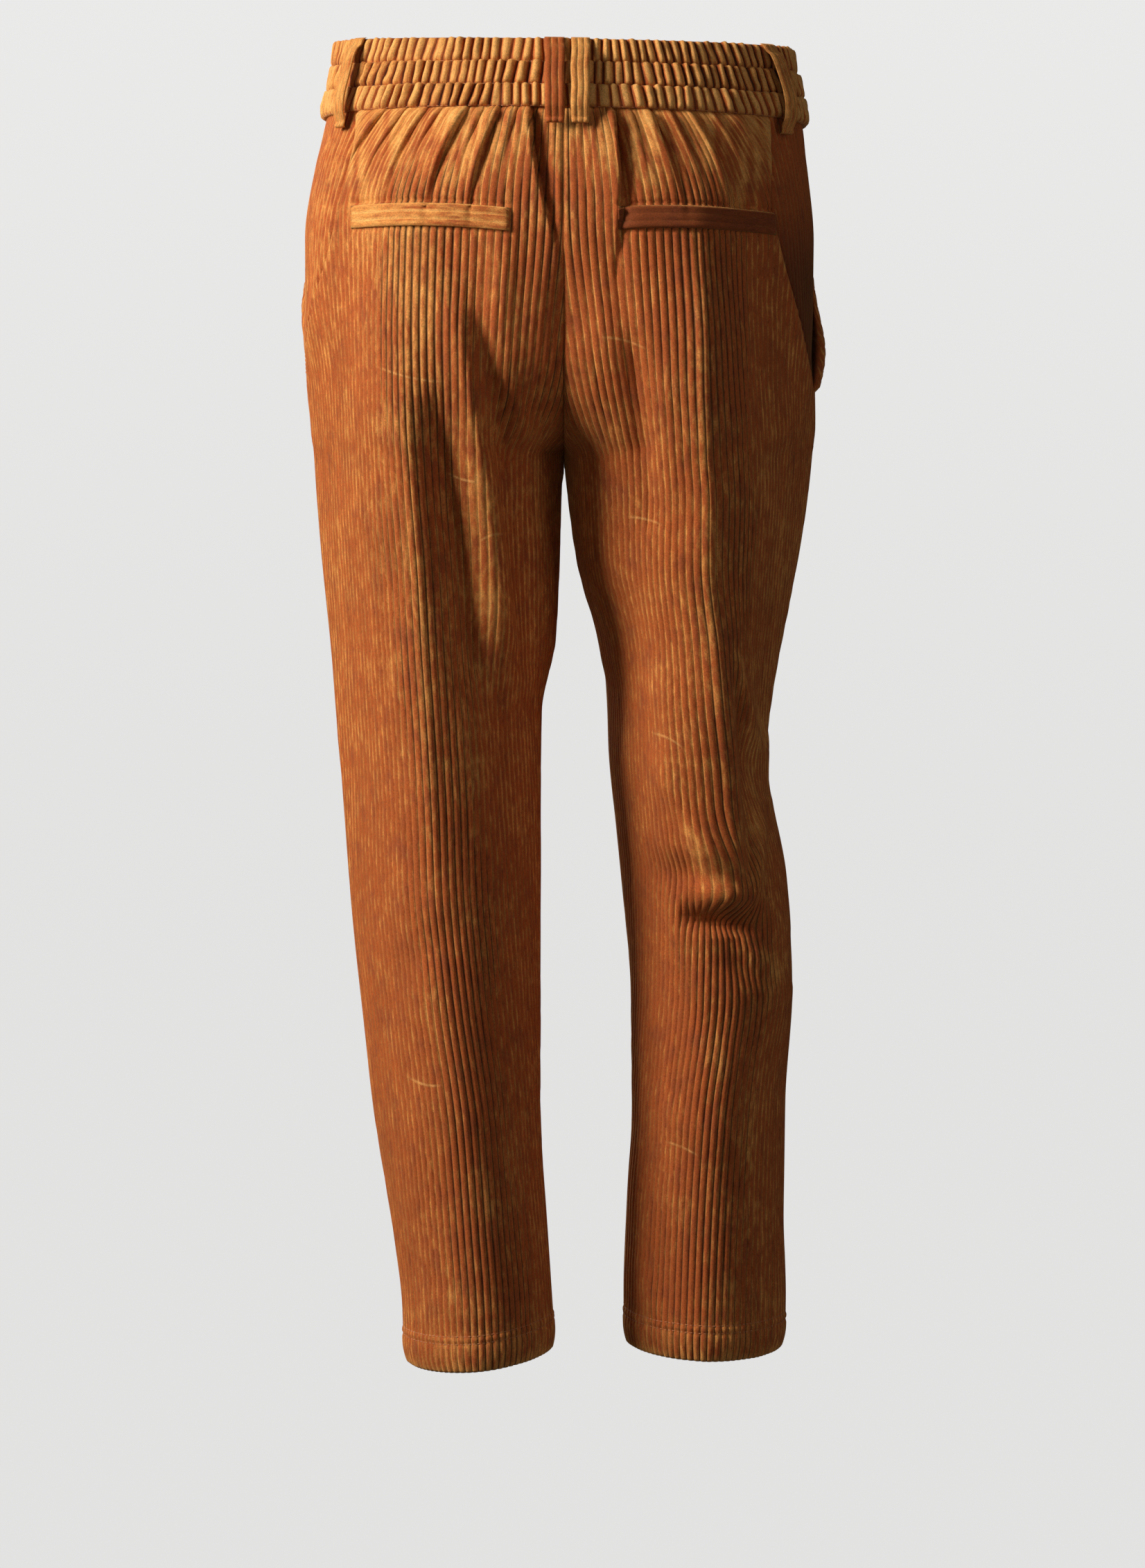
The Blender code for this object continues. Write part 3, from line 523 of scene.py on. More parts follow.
def worn(points):
    """Tilts the waist and slants the hems, as the garment hangs; points are (n, 3) in mm."""
    points = np.array(points, float)
    x, y, z = points.T.copy()
    down = rise(z, TILT_FADE[0], TILT_FADE[1] - TILT_FADE[0])
    tilt = np.interp(z, (BAND_BOTTOM, BAND_TOP), (TILT_BOTTOM, TILT_TOP))
    points[:, 2] += (1 - down) * (tilt * y + WAIST_LEAN * x)
    for name, leg in LEGS.items():
        hem = shape_at(name, leg["hem"])
        low = rise(z, HEM_FADE[0], HEM_FADE[1] - HEM_FADE[0]) * (x * leg["sign"] > 0)
        points[:, 2] -= low * (leg["lean"] * (np.abs(x) - hem["full"])
                               + leg["back"] * (y - hem["mid"]))
    return points


# --- Folds ---------------------------------------------------------------------------------------
def crease_height(leg, face, z, x):
    """How far the pressed creases stand out."""
    total = np.zeros_like(x)
    for crease in named(CREASES, CREASE_COLUMNS, (leg, face)):
        along = (crease["top"] - z) / (crease["top"] - crease["bottom"])
        if 0 < along < 1:
            across = np.abs(x - shape_at(leg, z)["crease"]) / crease["width"]
            total += crease["height"] * np.exp(-CREASE_SHARPNESS * across) * ease(6 * along)
    return total * (1 - CREASE_WEAR * rise(z, CREASE_WEAR_Z, -CREASE_WEAR_SPAN))


def facet_depth(leg, face, z, length, crease):
    """How far a face lies inside the round section, on each side of the crease at length crease."""
    table = FACETS[(leg, face)]
    levels = column(table, FACET_COLUMNS, "z")
    total = np.zeros_like(length)
    for name, reach, beyond in (("outer", crease, length < crease),
                                ("inner", length[-1] - crease, length >= crease)):
        depth = float(smooth(z, levels, column(table, FACET_COLUMNS, name)))
        away = np.sqrt((length - crease) ** 2 + RIDGE_RADIUS ** 2) - RIDGE_RADIUS
        share = np.clip(away / max(FACET_REACH * reach, 1.0), 0, 1)
        total += np.where(beyond, depth * np.sin(np.pi * share), 0)
    return total


def fold_height(leg, face, z, x):
    """How far the large folds move a face's points."""
    total = np.zeros_like(x)
    for fold in named(FOLDS, FOLD_COLUMNS, (leg, face)):
        along = (fold["z1"] - z) / (fold["z1"] - fold["z2"])
        if 0 < along < 1:
            across = x - fold["x1"] - (fold["x2"] - fold["x1"]) * along
            ends = (ease(4 * along), ease(4 * (1 - along)))
            total += fold["height"] * bell(across, fold["width"]) * ends[0] * ends[1]
    return total


def crumple_height(leg, face, z, x):
    """How far the small folds move a face's points."""
    total = np.zeros_like(x)
    for fold in named(CRUMPLES, CRUMPLE_COLUMNS, (leg, face)):
        total += fold["height"] * streak(fold, z, x)
    return total


def gather_height(leg, face, z, cloth):
    """How far the gathers under the waistband move points; cloth is flat length from the centre."""
    total = np.zeros_like(cloth)
    below = BAND_BOTTOM - z
    if below > GATHER_END:
        return total
    grip = ease(0.45 + below / 14)
    for fold in named(GATHERS, GATHER_COLUMNS, (leg, face)):
        down = np.clip(below / fold["reach"], 0, 1)
        off = (cloth - fold["at"] - fold["drift"] * down) * fold["side"]
        face_rise = fold["height"] * np.exp(np.minimum(off, 0) / fold["width"])
        drop = ease(off / GATHER_DROP)
        valley = fold["depth"] * np.exp(-np.maximum(off - GATHER_DROP, 0) / (0.45 * fold["width"]))
        total += (face_rise * (1 - drop) - valley * drop) * (1 - ease(down)) * grip
    seed = 3 + 2 * (leg == "left") + (face == "front")
    phase = cloth / RIPPLE_PITCH + 0.55 * noise(cloth / 24, below / 60, seed)
    crest = 1 - np.abs(np.sin(np.pi * phase)) ** 0.9
    reach = RIPPLE_REACH + RIPPLE_SPREAD * noise(cloth / 30, 0.5, seed)
    fade = (1 - ease(below / reach)) * grip
    strength = 0.65 + 0.45 * noise(cloth / 17, below / 80, seed + 7)
    return total + RIPPLE_HEIGHT * crest * fade * strength


def gape_height(leg, z, share):
    """How far the pocket's mouth stands away; share is 0 at the mouth's edge."""
    gape = dict(zip(GAPE_COLUMNS, GAPES[leg]))
    lift = bell(z - gape["z"], gape["reach"])
    return gape["height"] * lift * (1 - ease(share / GAPE_DEPTH))


def squeeze(z):
    """How much of its flat length the cloth keeps on its way up to the waistband."""
    return 1 - GATHER_SQUEEZE * np.clip((z - GATHER_Z) / (BAND_BOTTOM - GATHER_Z), 0, 1.05) ** 1.5


def rib_drift(leg, face, z, u, stop):
    """How far the ribs have moved to the centre seam, which ends the panel's line at stop."""
    high = rise(z, CROTCH_Z, GATHER_Z - CROTCH_Z)
    drift = high * (SEAT_LEAN * np.clip(u / stop, 0, 1) + HIP_LEAN * np.clip(-u / HIP_REACH, 0, 1))
    if (leg, face) == ("right", "back"):
        held = rise(z, KNEE_TOP, KNEE_FOLD - KNEE_TOP) * (1 - rise(z, KNEE_FOLD, -KNEE_DROP))
        drift = drift - KNEE_DRIFT * held * bell(u - KNEE_PLACE, KNEE_WIDTH)
    return drift


def hem_height(above):
    """The hem's own form: a doubled turn-up, two pressed stitch rows and an edge that curls in."""
    height = HEM_DOUBLE * (1 - ease((above - HEM_TURN + 3) / 3.5))
    for row in HEM_ROWS:
        height -= HEM_GROOVE * bell(above - row, GROOVE_WIDTH)
    curl = np.clip(1 - above / CURL_REACH, 0, 1)
    height -= HEM_CURL * curl ** 2
    lip = np.clip(1 - above / LIP_REACH, 0, 1)
    return height - HEM_LIP * lip ** 2


def streak(row, z, x):
    """1 along a segment of a table's row, falling to 0 beyond its width."""
    run = np.array([row["x2"] - row["x1"], row["z2"] - row["z1"]], float)
    size = np.hypot(*run)
    run /= size
    off = np.stack([x - row["x1"], np.full_like(x, z - row["z1"])])
    along = (off[0] * run[0] + off[1] * run[1]) / size
    share = np.clip(along, 0, 1)
    across = off[0] * run[1] - off[1] * run[0] - row["bow"] * 4 * share * (1 - share)
    past = (along - share) * size
    ends = np.sin(np.pi * (0.12 + 0.76 * share)) ** 0.8
    return ends * np.exp(-(across ** 2 + past ** 2) / row["width"] ** 2)


def pile_tone_and_painted_light(leg, face, z, x, u, from_edge, lift):
    """How golden the pile is: painted highlight on raised folds, on faces turned from the key light and
    under the waistband, brushed pile and painted highlight at the creases, paler at seams and edges, and
    painted shade on the lower legs.
    """
    # Painted highlight on raised folds and painted shade in troughs, partly wear.
    tone = RAISED_GOLD * np.clip(lift, -RAISED_LIMIT, RAISED_LIMIT)
    broken = 0.75 + 0.75 * noise(u / 11, z / 52, 62)
    for place in named(STREAKS_OF_PILE_AND_PAINTED_LIGHT, STREAK_COLUMNS, (leg, face)):
        tone = tone + place["strength"] * streak(place, z, x) * broken
    patches = 0.7 + 1.2 * noise(u / 9, z / 60, 60)
    # Brushed pile and painted highlight along the creases.
    tone = tone + CREASE_GOLD * rise(z, -60, -90) * bell(u, 12) * patches
    # Painted highlight on the faces turned away from the key light, and on the gathered cloth under the
    # band.
    turned = (u if leg == "left" else -u) if face == "back" else 0 * u
    tone = tone + TURNED_GOLD * rise(turned, 4, 16) * rise(z, -190, -90)
    tone = tone + GATHERED_GOLD * (1 - rise(z, BAND_BOTTOM, -85))
    tone = tone + SEAM_GOLD * bell(from_edge, 5)
    above = z - LEGS[leg]["hem"]
    tone = tone + HEM_EDGE_GOLD * bell(above, 5) + HEM_GOLD * rise(above, 60, -50)
    tone = tone + GATHER_MOTTLE * rise(z, -120, 50) * noise(u / 5, z / 26, 63)
    # Painted shade on the lower legs; the right leg a little darker all over.
    tone = tone - LOWER_LEG_PAINTED_SHADE * rise(z, -430, -120) - RIGHT_LEG_DUSK * (leg == "right")
    return tone + MOTTLE * noise(u / 24, z / 34, 61)


def rib_opening(leg, face, z, u):
    """How far the ribs stand apart: most along the creases, over the seat and at the knee."""
    patches, specks = noise(u / 26, z / 80, 71), noise(u / 7, z / 50, 72)
    opening = OPENING + OPENING_PATCHES * patches + OPENING_SPECKS * specks
    middle = CREASE_SHIFT if leg == "left" else -CREASE_SHIFT
    away = np.maximum(np.abs(u - middle) - CREASE_SHIFT, 0)
    worn_out = 1 - 0.45 * rise(z, -560, -90)
    opening = opening + CREASE_OPENING * bell(away, 20) * rise(z, -40, -60) * worn_out
    seat = rise(z, -262, 50) * (1 - 0.7 * rise(z, WELT_TOP, 30))
    opening = opening + SEAT_OPENING * seat * (1 - rise(u, 6, -36))
    opening = opening + CALF_OPENING * rise(z, -560, -60) * bell(u - 14, 36)
    if (leg, face) == ("right", "back"):
        opening = opening + KNEE_OPENING * bell(z + 622, 42) * bell(u + 14, 34)
    return np.clip(opening, 0, WIDEST_OPENING)


def arc_marks(leg, face, z, x):
    """Where the pressed arcs run: the signed distance to the nearest, and 1 near it, 0 elsewhere."""
    distance, near = np.zeros_like(x), np.zeros_like(x)
    for arc in named(ARCS, ARC_COLUMNS, (leg, face)):
        share = (x - arc["x1"]) / (arc["x2"] - arc["x1"])
        level = arc["z1"] + (arc["z2"] - arc["z1"]) * share + arc["bow"] * 4 * share * (1 - share)
        close = 1 - rise(np.abs(z - level), 5, 4)
        close = close * (1 - rise(np.abs(share - 0.5), 0.2, 0.3))
        distance = np.where(close > 0, z - level, distance)
        near = np.maximum(near, close)
    return distance, near


class Section:
    """One panel's line at height z: its points, normals and lengths, and where the ribs lie."""

    def __init__(self, leg, face, z):
        shape = shape_at(leg, z)
        turn = 1 if face == "back" else -1
        pocket = face == "front" and z > POCKET_END_Z
        outer = mouth_angle(leg, z) if pocket else side_angle(leg, z)
        base = lobe(shape, np.linspace(outer, turn * centre_angle(shape), TRACE_STEPS))
        base_length = lengths(base)
        from_centre = base_length[-1] - base_length
        share = base_length / base_length[-1]
        x = base[:, 0]
        ridge = np.interp(-shape["crease"], -x, base_length)
        height = crease_height(leg, face, z, x) + fold_height(leg, face, z, x)
        height -= facet_depth(leg, face, z, base_length, ridge)
        height += crumple_height(leg, face, z, x)
        height += gather_height(leg, face, z, from_centre / squeeze(z))
        seed = 1 + (leg == "left") + 2 * (face == "front")
        slow, width, length = WAVES
        height += slow * noise(from_centre / width, z / length, seed) * rise(z, -860, 60)
        small, width, length = DIMPLES
        height += small * noise(from_centre / width, z / length, seed + 5)
        height *= ease(share / 0.05) * ease((1 - share) / 0.05)
        if pocket:
            height += gape_height(leg, z, share)
        if face == "back" and z > CROTCH_Z:
            depth = VALLEY_DEPTH - (VALLEY_DEPTH + BRIDGE_HEIGHT) * rise(z, BRIDGE_Z, -45)
            depth *= rise(z, -105, -50) * rise(z, CROTCH_Z, 24)
            height -= depth * bell(from_centre, SEAT_VALLEY[leg])
        self.lift = height
        normals = outward(base, turn)
        self.points = base + normals * height[:, None]
        self.normals = outward(self.points, turn)
        self.u = base_length - ridge
        window = max(int(4.0 / (base_length[1] + 1e-6)), 1)
        low = np.min([np.roll(height, k) for k in range(-window, window + 1)], axis=0)
        self.under = base + normals * low[:, None]
        self.start, self.stop = self.u[0], self.u[-1]
        self.x = self.points[:, 0]

    def at(self, u, under=False):
        """Points and unit normals at places u; under gives the line below the small folds."""
        line = self.under if under else self.points
        points = np.stack([np.interp(u, self.u, line[:, k]) for k in (0, 1)], axis=1)
        normals = np.stack([np.interp(u, self.u, self.normals[:, k]) for k in (0, 1)], axis=1)
        return points, normals / np.linalg.norm(normals, axis=1)[:, None]


def in_space(leg, flat, z):
    """Section points at height z as points of the garment, before it is worn."""
    return np.column_stack([flat[:, 0] * LEGS[leg]["sign"], flat[:, 1], np.full(len(flat), z)])


# --- Meshes --------------------------------------------------------------------------------------
def new_object(name, data):
    """An object of the scene that shows data."""
    made = bpy.data.objects.new(name, data)
    bpy.context.scene.collection.objects.link(made)
    return made


def make_mesh(name, points, quads, triangles, materials, slots, values):
    """A smooth-shaded object from arrays; points in mm, slots one material index per face.

    values are float attributes, one number for each point.
    """
    corners = np.concatenate([quads.ravel(), triangles.ravel()])
    starts = np.concatenate([np.arange(len(quads)) * 4,
                             len(quads) * 4 + np.arange(len(triangles)) * 3])
    used, corners = np.unique(corners, return_inverse=True)
    mesh = bpy.data.meshes.new(name)
    mesh.vertices.add(len(used))
    mesh.vertices.foreach_set("co", (points[used] * MM).astype(np.float32).ravel())
    mesh.loops.add(len(corners))
    mesh.loops.foreach_set("vertex_index", corners.ravel().astype(np.int32))
    mesh.polygons.add(len(starts))
    mesh.polygons.foreach_set("loop_start", starts.astype(np.int32))
    mesh.polygons.foreach_set("material_index", slots.astype(np.int32))
    mesh.update(calc_edges=True)
    for material in materials:
        mesh.materials.append(material)
    for key, numbers in values.items():
        layer = mesh.attributes.new(key, "FLOAT", "POINT")
        layer.data.foreach_set("value", numbers[used].astype(np.float32))
    mesh.shade_smooth()
    return new_object(name, mesh)


def grid_faces(index):
    """Quads and triangles over a grid of point numbers, where a row may repeat one number."""
    a, b = index[:-1, :-1].ravel(), index[:-1, 1:].ravel()
    c, d = index[1:, 1:].ravel(), index[1:, :-1].ravel()
    upper, lower = a == b, c == d
    whole = ~upper & ~lower
    quads = np.stack([a, b, c, d], axis=1)[whole]
    tips = np.concatenate([np.stack([a, c, d], axis=1)[upper & ~lower],
                           np.stack([a, b, c], axis=1)[lower & ~upper]])
    return quads, tips


def edge_faces(outer, inner, coarse):
    """Triangles between a fine row and a coarse row of point numbers; coarse maps one to other."""
    made = []
    for j in range(len(outer) - 1):
        near, far = inner[coarse[j]], inner[coarse[j + 1]]
        if outer[j] != outer[j + 1]:
            made.append((outer[j + 1], outer[j], near))
        if near != far:
            made.append((outer[j + 1], near, far))
    return np.array(made, int).reshape(-1, 3)


def shell(name, grids, materials, values, cuts=None, wrap=False):
    """A thin closed sheet between an outer and an inner grid of points.

    The outer grid is (rows, columns, 3); the inner one has the same rows and every nth column.
    cuts are the (first, last) columns that each row keeps, for both grids. values: name -> (outer,
    inner) numbers. wrap joins the last column to the first. The outer face takes materials[0], the
    inner one materials[1].
    """
    outer, inner = (np.array(grid) for grid in grids)
    rows, columns = outer.shape[:2]
    inner_columns = inner.shape[1]
    outer_index = np.arange(rows * columns).reshape(rows, columns)
    inner_index = rows * columns + np.arange(rows * inner_columns).reshape(rows, inner_columns)
    ratio = columns / inner_columns if wrap else (columns - 1) / (inner_columns - 1)
    coarse = np.round(np.arange(columns) / ratio + 1e-6).astype(int)
    if cuts:
        (first, last), (inner_first, inner_last) = (np.array(ends).T for ends in cuts)
        keep = np.clip(np.arange(columns)[None], first[:, None], last[:, None])
        outer_index = np.take_along_axis(outer_index, keep, axis=1)
        keep = np.clip(np.arange(inner_columns)[None], inner_first[:, None], inner_last[:, None])
        inner_index = np.take_along_axis(inner_index, keep, axis=1)
    if wrap:
        outer_index = np.column_stack([outer_index, outer_index[:, 0]])
        inner_index = np.column_stack([inner_index, inner_index[:, 0]])
        coarse = np.append(coarse, inner_columns)
    quads, tips = grid_faces(outer_index)
    inner_quads, inner_tips = grid_faces(inner_index)
    edges = []
    for row, flip in ((0, False), (-1, True)):
        ends = coarse.copy()
        if cuts:
            ends[np.arange(columns) <= first[row]] = inner_first[row]
            ends[np.arange(columns) >= last[row]] = inner_last[row]
        made = edge_faces(outer_index[row], inner_index[row], ends)
        edges.append(made[:, ::-1] if flip else made)
    sides = np.zeros((0, 4), int)
    if not wrap:
        sides = np.concatenate([
            np.stack([outer_index[:-1, 0], outer_index[1:, 0],
                      inner_index[1:, 0], inner_index[:-1, 0]], axis=1),
            np.stack([outer_index[1:, -1], outer_index[:-1, -1],
                      inner_index[:-1, -1], inner_index[1:, -1]], axis=1)])
    quads = np.concatenate([quads, sides, inner_quads[:, ::-1]])
    slots = [np.zeros(len(quads) - len(inner_quads)), np.ones(len(inner_quads))]
    triangles = np.concatenate([tips, *edges, inner_tips[:, ::-1]])
    slots += [np.zeros(len(triangles) - len(inner_tips)), np.ones(len(inner_tips))]
    points = np.concatenate([outer.reshape(-1, 3), inner.reshape(-1, 3)])
    a, b, c = points[np.concatenate([triangles, quads[:, :3], quads[:, [0, 2, 3]]]).T]
    if np.einsum("ij,ij->i", a, np.cross(b, c)).sum() < 0:
        quads, triangles = quads[:, ::-1], triangles[:, ::-1]
    numbers = {key: np.concatenate([np.asarray(part, float).ravel() for part in pair])
               for key, pair in values.items()}
    numbers.setdefault("opening", np.full(len(points), 0.3))
    return make_mesh(name, worn(points), quads, triangles, materials,
                     np.concatenate(slots), numbers)


# --- Leg panels ----------------------------------------------------------------------------------
def levels_of(leg):
    """Heights of a panel's rows: close together at the waist seam, the welts and the hem."""
    hem = LEGS[leg]["hem"]
    turn = hem + HEM_TURN + 3
    upper = np.linspace(-34.5, WELT_TOP + 6, 15)
    welt = np.arange(WELT_TOP + 4.0, WELT_FOOT - 9.0, -FINE_STEP)
    foot = WELT_FOOT - 12.0
    body = np.linspace(foot, turn, int((foot - turn) / ROW_STEP) + 1)
    turned = np.arange(turn - FINE_STEP, hem + 2.6, -FINE_STEP)
    return np.concatenate([WAIST_LEVELS, upper, welt, body, turned, hem + np.array(EDGE_LEVELS)])


def welt_sag(leg, x):
    """How much lower a pocket's line lies than its middle, as the gathers pull it up there."""
    share = np.clip((x - WELT_ENDS[1]) / (WELT_ENDS[0] - WELT_ENDS[1]), 0, 1)
    inner, outer = WELT_SAGS[leg]
    return inner * (1 - share) ** 2 + outer * share ** 2


def wale_profile(u):
    """0 in a groove, 1 on a rib's crown."""
    share = u / WALE - np.floor(u / WALE)
    return 1 - np.abs(2 * share - 1) ** 2.2


def rib_shares(ribs):
    """The places of a number of ribs' columns, as shares of the whole width."""
    return np.array([(rib + step) / ribs for rib in range(ribs) for step in WALE_STEPS] + [1.0])


def seam_dip(from_edge, depth):
    """How far a seam draws the cloth in."""
    return depth * (1 - ease(from_edge / SEAM_WIDTH))


def panel_offset(leg, face, z, u, from_edge, x, opening):
    """How far a panel's surface stands off its section line: ribs, seams, waist seam and hem."""
    firm = 0.74 + 0.14 * noise(u / 31, z / 37, 11) - 0.30 * rise(z, WELT_TOP, 12)
    firm = firm + 0.50 * opening
    firm = firm - 0.45 * rise(z, -120, 50) * noise(u / 6, z / 40, 12)
    ribs = WALE_HEIGHT * firm * (wale_profile(u) - 1) + CROWN
    offset = ribs * ease(from_edge / RIB_END) - seam_dip(from_edge, SEAM_DIPS[0])
    below = BAND_BOTTOM - z
    if below < 0:
        return offset - BAND_TUCK
    offset += WAIST_SWELL * (1 - ease(below / WAIST_SWELL_REACH)) * ease(0.3 + below / 5)
    if face == "back":
        inside = ease((x - WELT_ENDS[1] + 2) / 2) * ease((WELT_ENDS[0] + 2 - x) / 2)
        level = z + welt_sag(leg, x)
        for edge, depth in ((WELT_TOP + 1.2, 1.5), (WELT_FOOT - 0.9, 0.9)):
            offset -= depth * inside * bell(level - edge, GROOVE_WIDTH)
    above = z - LEGS[leg]["hem"]
    if above < HEM_TURN + 4:
        offset += hem_height(above)
    return offset


def make_panel(leg, face, materials):
    """One leg panel, its columns along the ribs."""
    levels = levels_of(leg)
    sections = [Section(leg, face, z) for z in levels]
    gathered = Section(leg, face, GATHER_Z)
    low = min(section.start for section in sections) - WALE
    high = max(section.stop for section in sections) + WALE
    low = min(low, gathered.stop - (gathered.stop - low) / (1 - GATHER_SQUEEZE))
    first_rib, last_rib = int(np.floor(low / WALE)), int(np.ceil(high / WALE))
    columns = np.array([(rib + step) * WALE for rib in range(first_rib, last_rib)
                        for step in WALE_STEPS] + [last_rib * WALE])
    grids, cuts = ([], []), ([], [])
    names = ("wale", "along", "nap_and_painted_light", "opening", "arc", "pressed")
    values = {name: ([], []) for name in names}
    for z, section in zip(levels, sections):
        for side, ribs in enumerate((columns, columns[::len(WALE_STEPS)])):
            line = ribs + rib_drift(leg, face, z, ribs, gathered.stop)
            if z > GATHER_Z:
                line = section.stop - (gathered.stop - line) * squeeze(z)
            first = int(np.searchsorted(line, section.start, side="right")) - 1
            last = int(np.searchsorted(line, section.stop, side="left"))
            place = np.clip(line, section.start, section.stop)
            flat, normal = section.at(place, under=side == 1)
            from_edge = np.minimum(place - section.start, section.stop - place)
            nap_and_painted_light = pile_tone_and_painted_light(leg, face, z, flat[:, 0], place, from_edge,
                           np.interp(place, section.u, section.lift))
            opening = rib_opening(leg, face, z, place)
            to_seam = from_edge if side == 0 else np.full_like(line, FAR)
            offset = panel_offset(leg, face, z, ribs, to_seam, flat[:, 0], opening)
            if side == 1:
                offset = offset - WALL - seam_dip(from_edge, SEAM_DIPS[1])
            flat = flat + normal * offset[:, None]
            closed = ease((z - CROTCH_Z + CLOSING_REACH) / CLOSING_SPAN)
            flat[:, 0] -= closed * flat[-1, 0] * np.exp(-(section.stop - place) / CLOSING_WIDTH)
            flat[:, 0] = np.maximum(flat[:, 0], 0.0)
            grids[side].append(in_space(leg, flat, z))
            cuts[side].append((first, last))
            trimmed = np.interp(place, line, ribs)
            # The strip along the pocket's mouth: its ribs, and on the right painted shade at its inner
            # edge.
            if side == 1 and face == "front" and z > POCKET_END_Z:
                strip = place <= section.start
                trimmed = trimmed - MOUTH_RIBS * WALE * strip
                nap_and_painted_light = np.where(strip, MOUTH_PAINTED_SHADE[leg], nap_and_painted_light)
            numbers = (trimmed / WALE, np.full_like(line, z), nap_and_painted_light, opening,
                       *arc_marks(leg, face, z, flat[:, 0]))
            for name, number in zip(names, numbers):
                values[name][side].append(number)
    return shell(f"cloth_{face}_{leg}", grids, materials, values, cuts=cuts)


# --- Pocket facings ------------------------------------------------------------------------------
def make_facing(leg, materials):
    """The side piece that shows in the slant pocket, tucked under the front's edge."""
    tuck = np.radians(FACING_TUCK)
    plumb = side_angle(leg, POCKET_END_Z)
    depth = WALL + 6 * SEAM_GAP
    levels = np.concatenate([[-25.0], np.arange(BAND_BOTTOM - 0.4, POCKET_END_Z - 5, -ROW_STEP)])
    ribs = np.arange(-FACING_RIBS, FACING_RIBS) * WALE
    columns = np.array([rib + step * WALE for rib in ribs for step in WALE_STEPS]
                       + [FACING_RIBS * WALE])
    grids, cuts, wale, along = ([], []), ([], []), ([], []), ([], [])
    for z in levels:
        seam = side_angle(leg, z)
        mouth = min(mouth_angle(leg, max(z, POCKET_END_Z)), seam)
        angle = np.linspace(seam, mouth - tuck, TRACE_STEPS)
        base = lobe(shape_at(leg, z), angle)
        normals = outward(base, -1)
        share = (seam - angle) / max(seam - mouth, 0.03)
        sunk = depth * ease(share) + 2.6 * rise(z, POCKET_END_Z + 9, -9)
        base = base - normals * sunk[:, None]
        length = lengths(base)
        length -= np.interp(-plumb, -angle, length)
        for side, line in enumerate((columns, columns[::len(WALE_STEPS)])):
            place = np.clip(line, length[0], length[-1])
            flat = np.stack([np.interp(place, length, base[:, k]) for k in (0, 1)], axis=1)
            normal = np.stack([np.interp(place, length, normals[:, k]) for k in (0, 1)], axis=1)
            dip = seam_dip(place - length[0], FACING_DIPS[side])
            offset = WALE_HEIGHT * (wale_profile(line) - 1) + 0.1 - dip
            if z > BAND_BOTTOM:
                offset -= BAND_TUCK
            else:
                offset += 1.6 * (1 - rise(z, BAND_BOTTOM, -WAIST_SWELL_REACH))
            if side == 1:
                offset = np.full_like(line, -WALL) - dip
            grids[side].append(in_space(leg, flat + normal * offset[:, None], z))
            cuts[side].append((int(np.searchsorted(line, length[0], side="right")) - 1,
                               int(np.searchsorted(line, length[-1], side="left"))))
            wale[side].append(place / WALE + 0.37)
            along[side].append(np.full_like(line, z))
    # Painted shade on the right facing, darker lower down; the left one a little golden.
    high, low = FACING_PILE_AND_PAINTED_SHADE[leg]
    nap_and_painted_light = high + (low - high) * rise(np.array(along[0]), BAND_BOTTOM - 25.0, -90.0)
    return shell(f"cloth_pocket_facing_{leg}", grids, materials,
                 {"wale": wale, "along": along, "nap_and_painted_light": (nap_and_painted_light, np.zeros_like(along[1]))}, cuts=cuts)


# --- Waistband -----------------------------------------------------------------------------------
def band_ring(z):
    """A fine closed line round the waist at height z, from the wearer's left towards the back."""
    turns = np.linspace(0, 2 * np.pi, 4 * TRACE_STEPS + 1)
    sides = {leg: dict(shape_at(leg, z), full=0) for leg in LEGS}
    left = lobe(sides["left"], turns)
    right = lobe(sides["right"], np.pi - turns) * [-1, 1]
    points = np.where((np.cos(turns) >= 0)[:, None], left, right)
    run = np.roll(points[:-1], -1, axis=0) - np.roll(points[:-1], 1, axis=0)
    normals = np.stack([run[:, 1], -run[:, 0]], axis=1)
    normals /= np.linalg.norm(normals, axis=1)[:, None]
    normals = np.vstack([normals, normals[:1]])
    length = lengths(points)
    return points, normals, length - np.interp(np.pi / 2, turns, length)


def band_points(z, places, off):
    """Points round the waist at lengths from the centre back, off the band's inner face."""
    points, normals, length = band_ring(z)
    wanted = (np.asarray(places, float) - length[0]) % (length[-1] - length[0]) + length[0]
    at = [np.interp(wanted, length, line) for line in (*points.T, *normals.T)]
    flat = np.stack(at[:2], axis=1) + np.stack(at[2:], axis=1) * np.reshape(off, (-1, 1))
    return np.column_stack([flat, np.full(len(flat), z)])


def pucker_phase(turn, channel, share):
    """Counts the elastic's puckers; turn runs 0 to 1 round the waist from the wearer's left."""
    across, along = 9 * np.cos(2 * np.pi * turn) + 30, 9 * np.sin(2 * np.pi * turn) + 30
    warp = 0.15 * noise(across * 1.9, along * 1.9, 20 + channel)
    warp += 0.6 * noise(across * 0.35, along * 0.35, 24 + channel)
    slant = 0.55 * np.cos(2 * np.pi * turn) + 0.35 * noise(across * 0.8, along * 0.8, 28 + channel)
    return turn * PUCKERS + warp + slant * (share - 0.5)


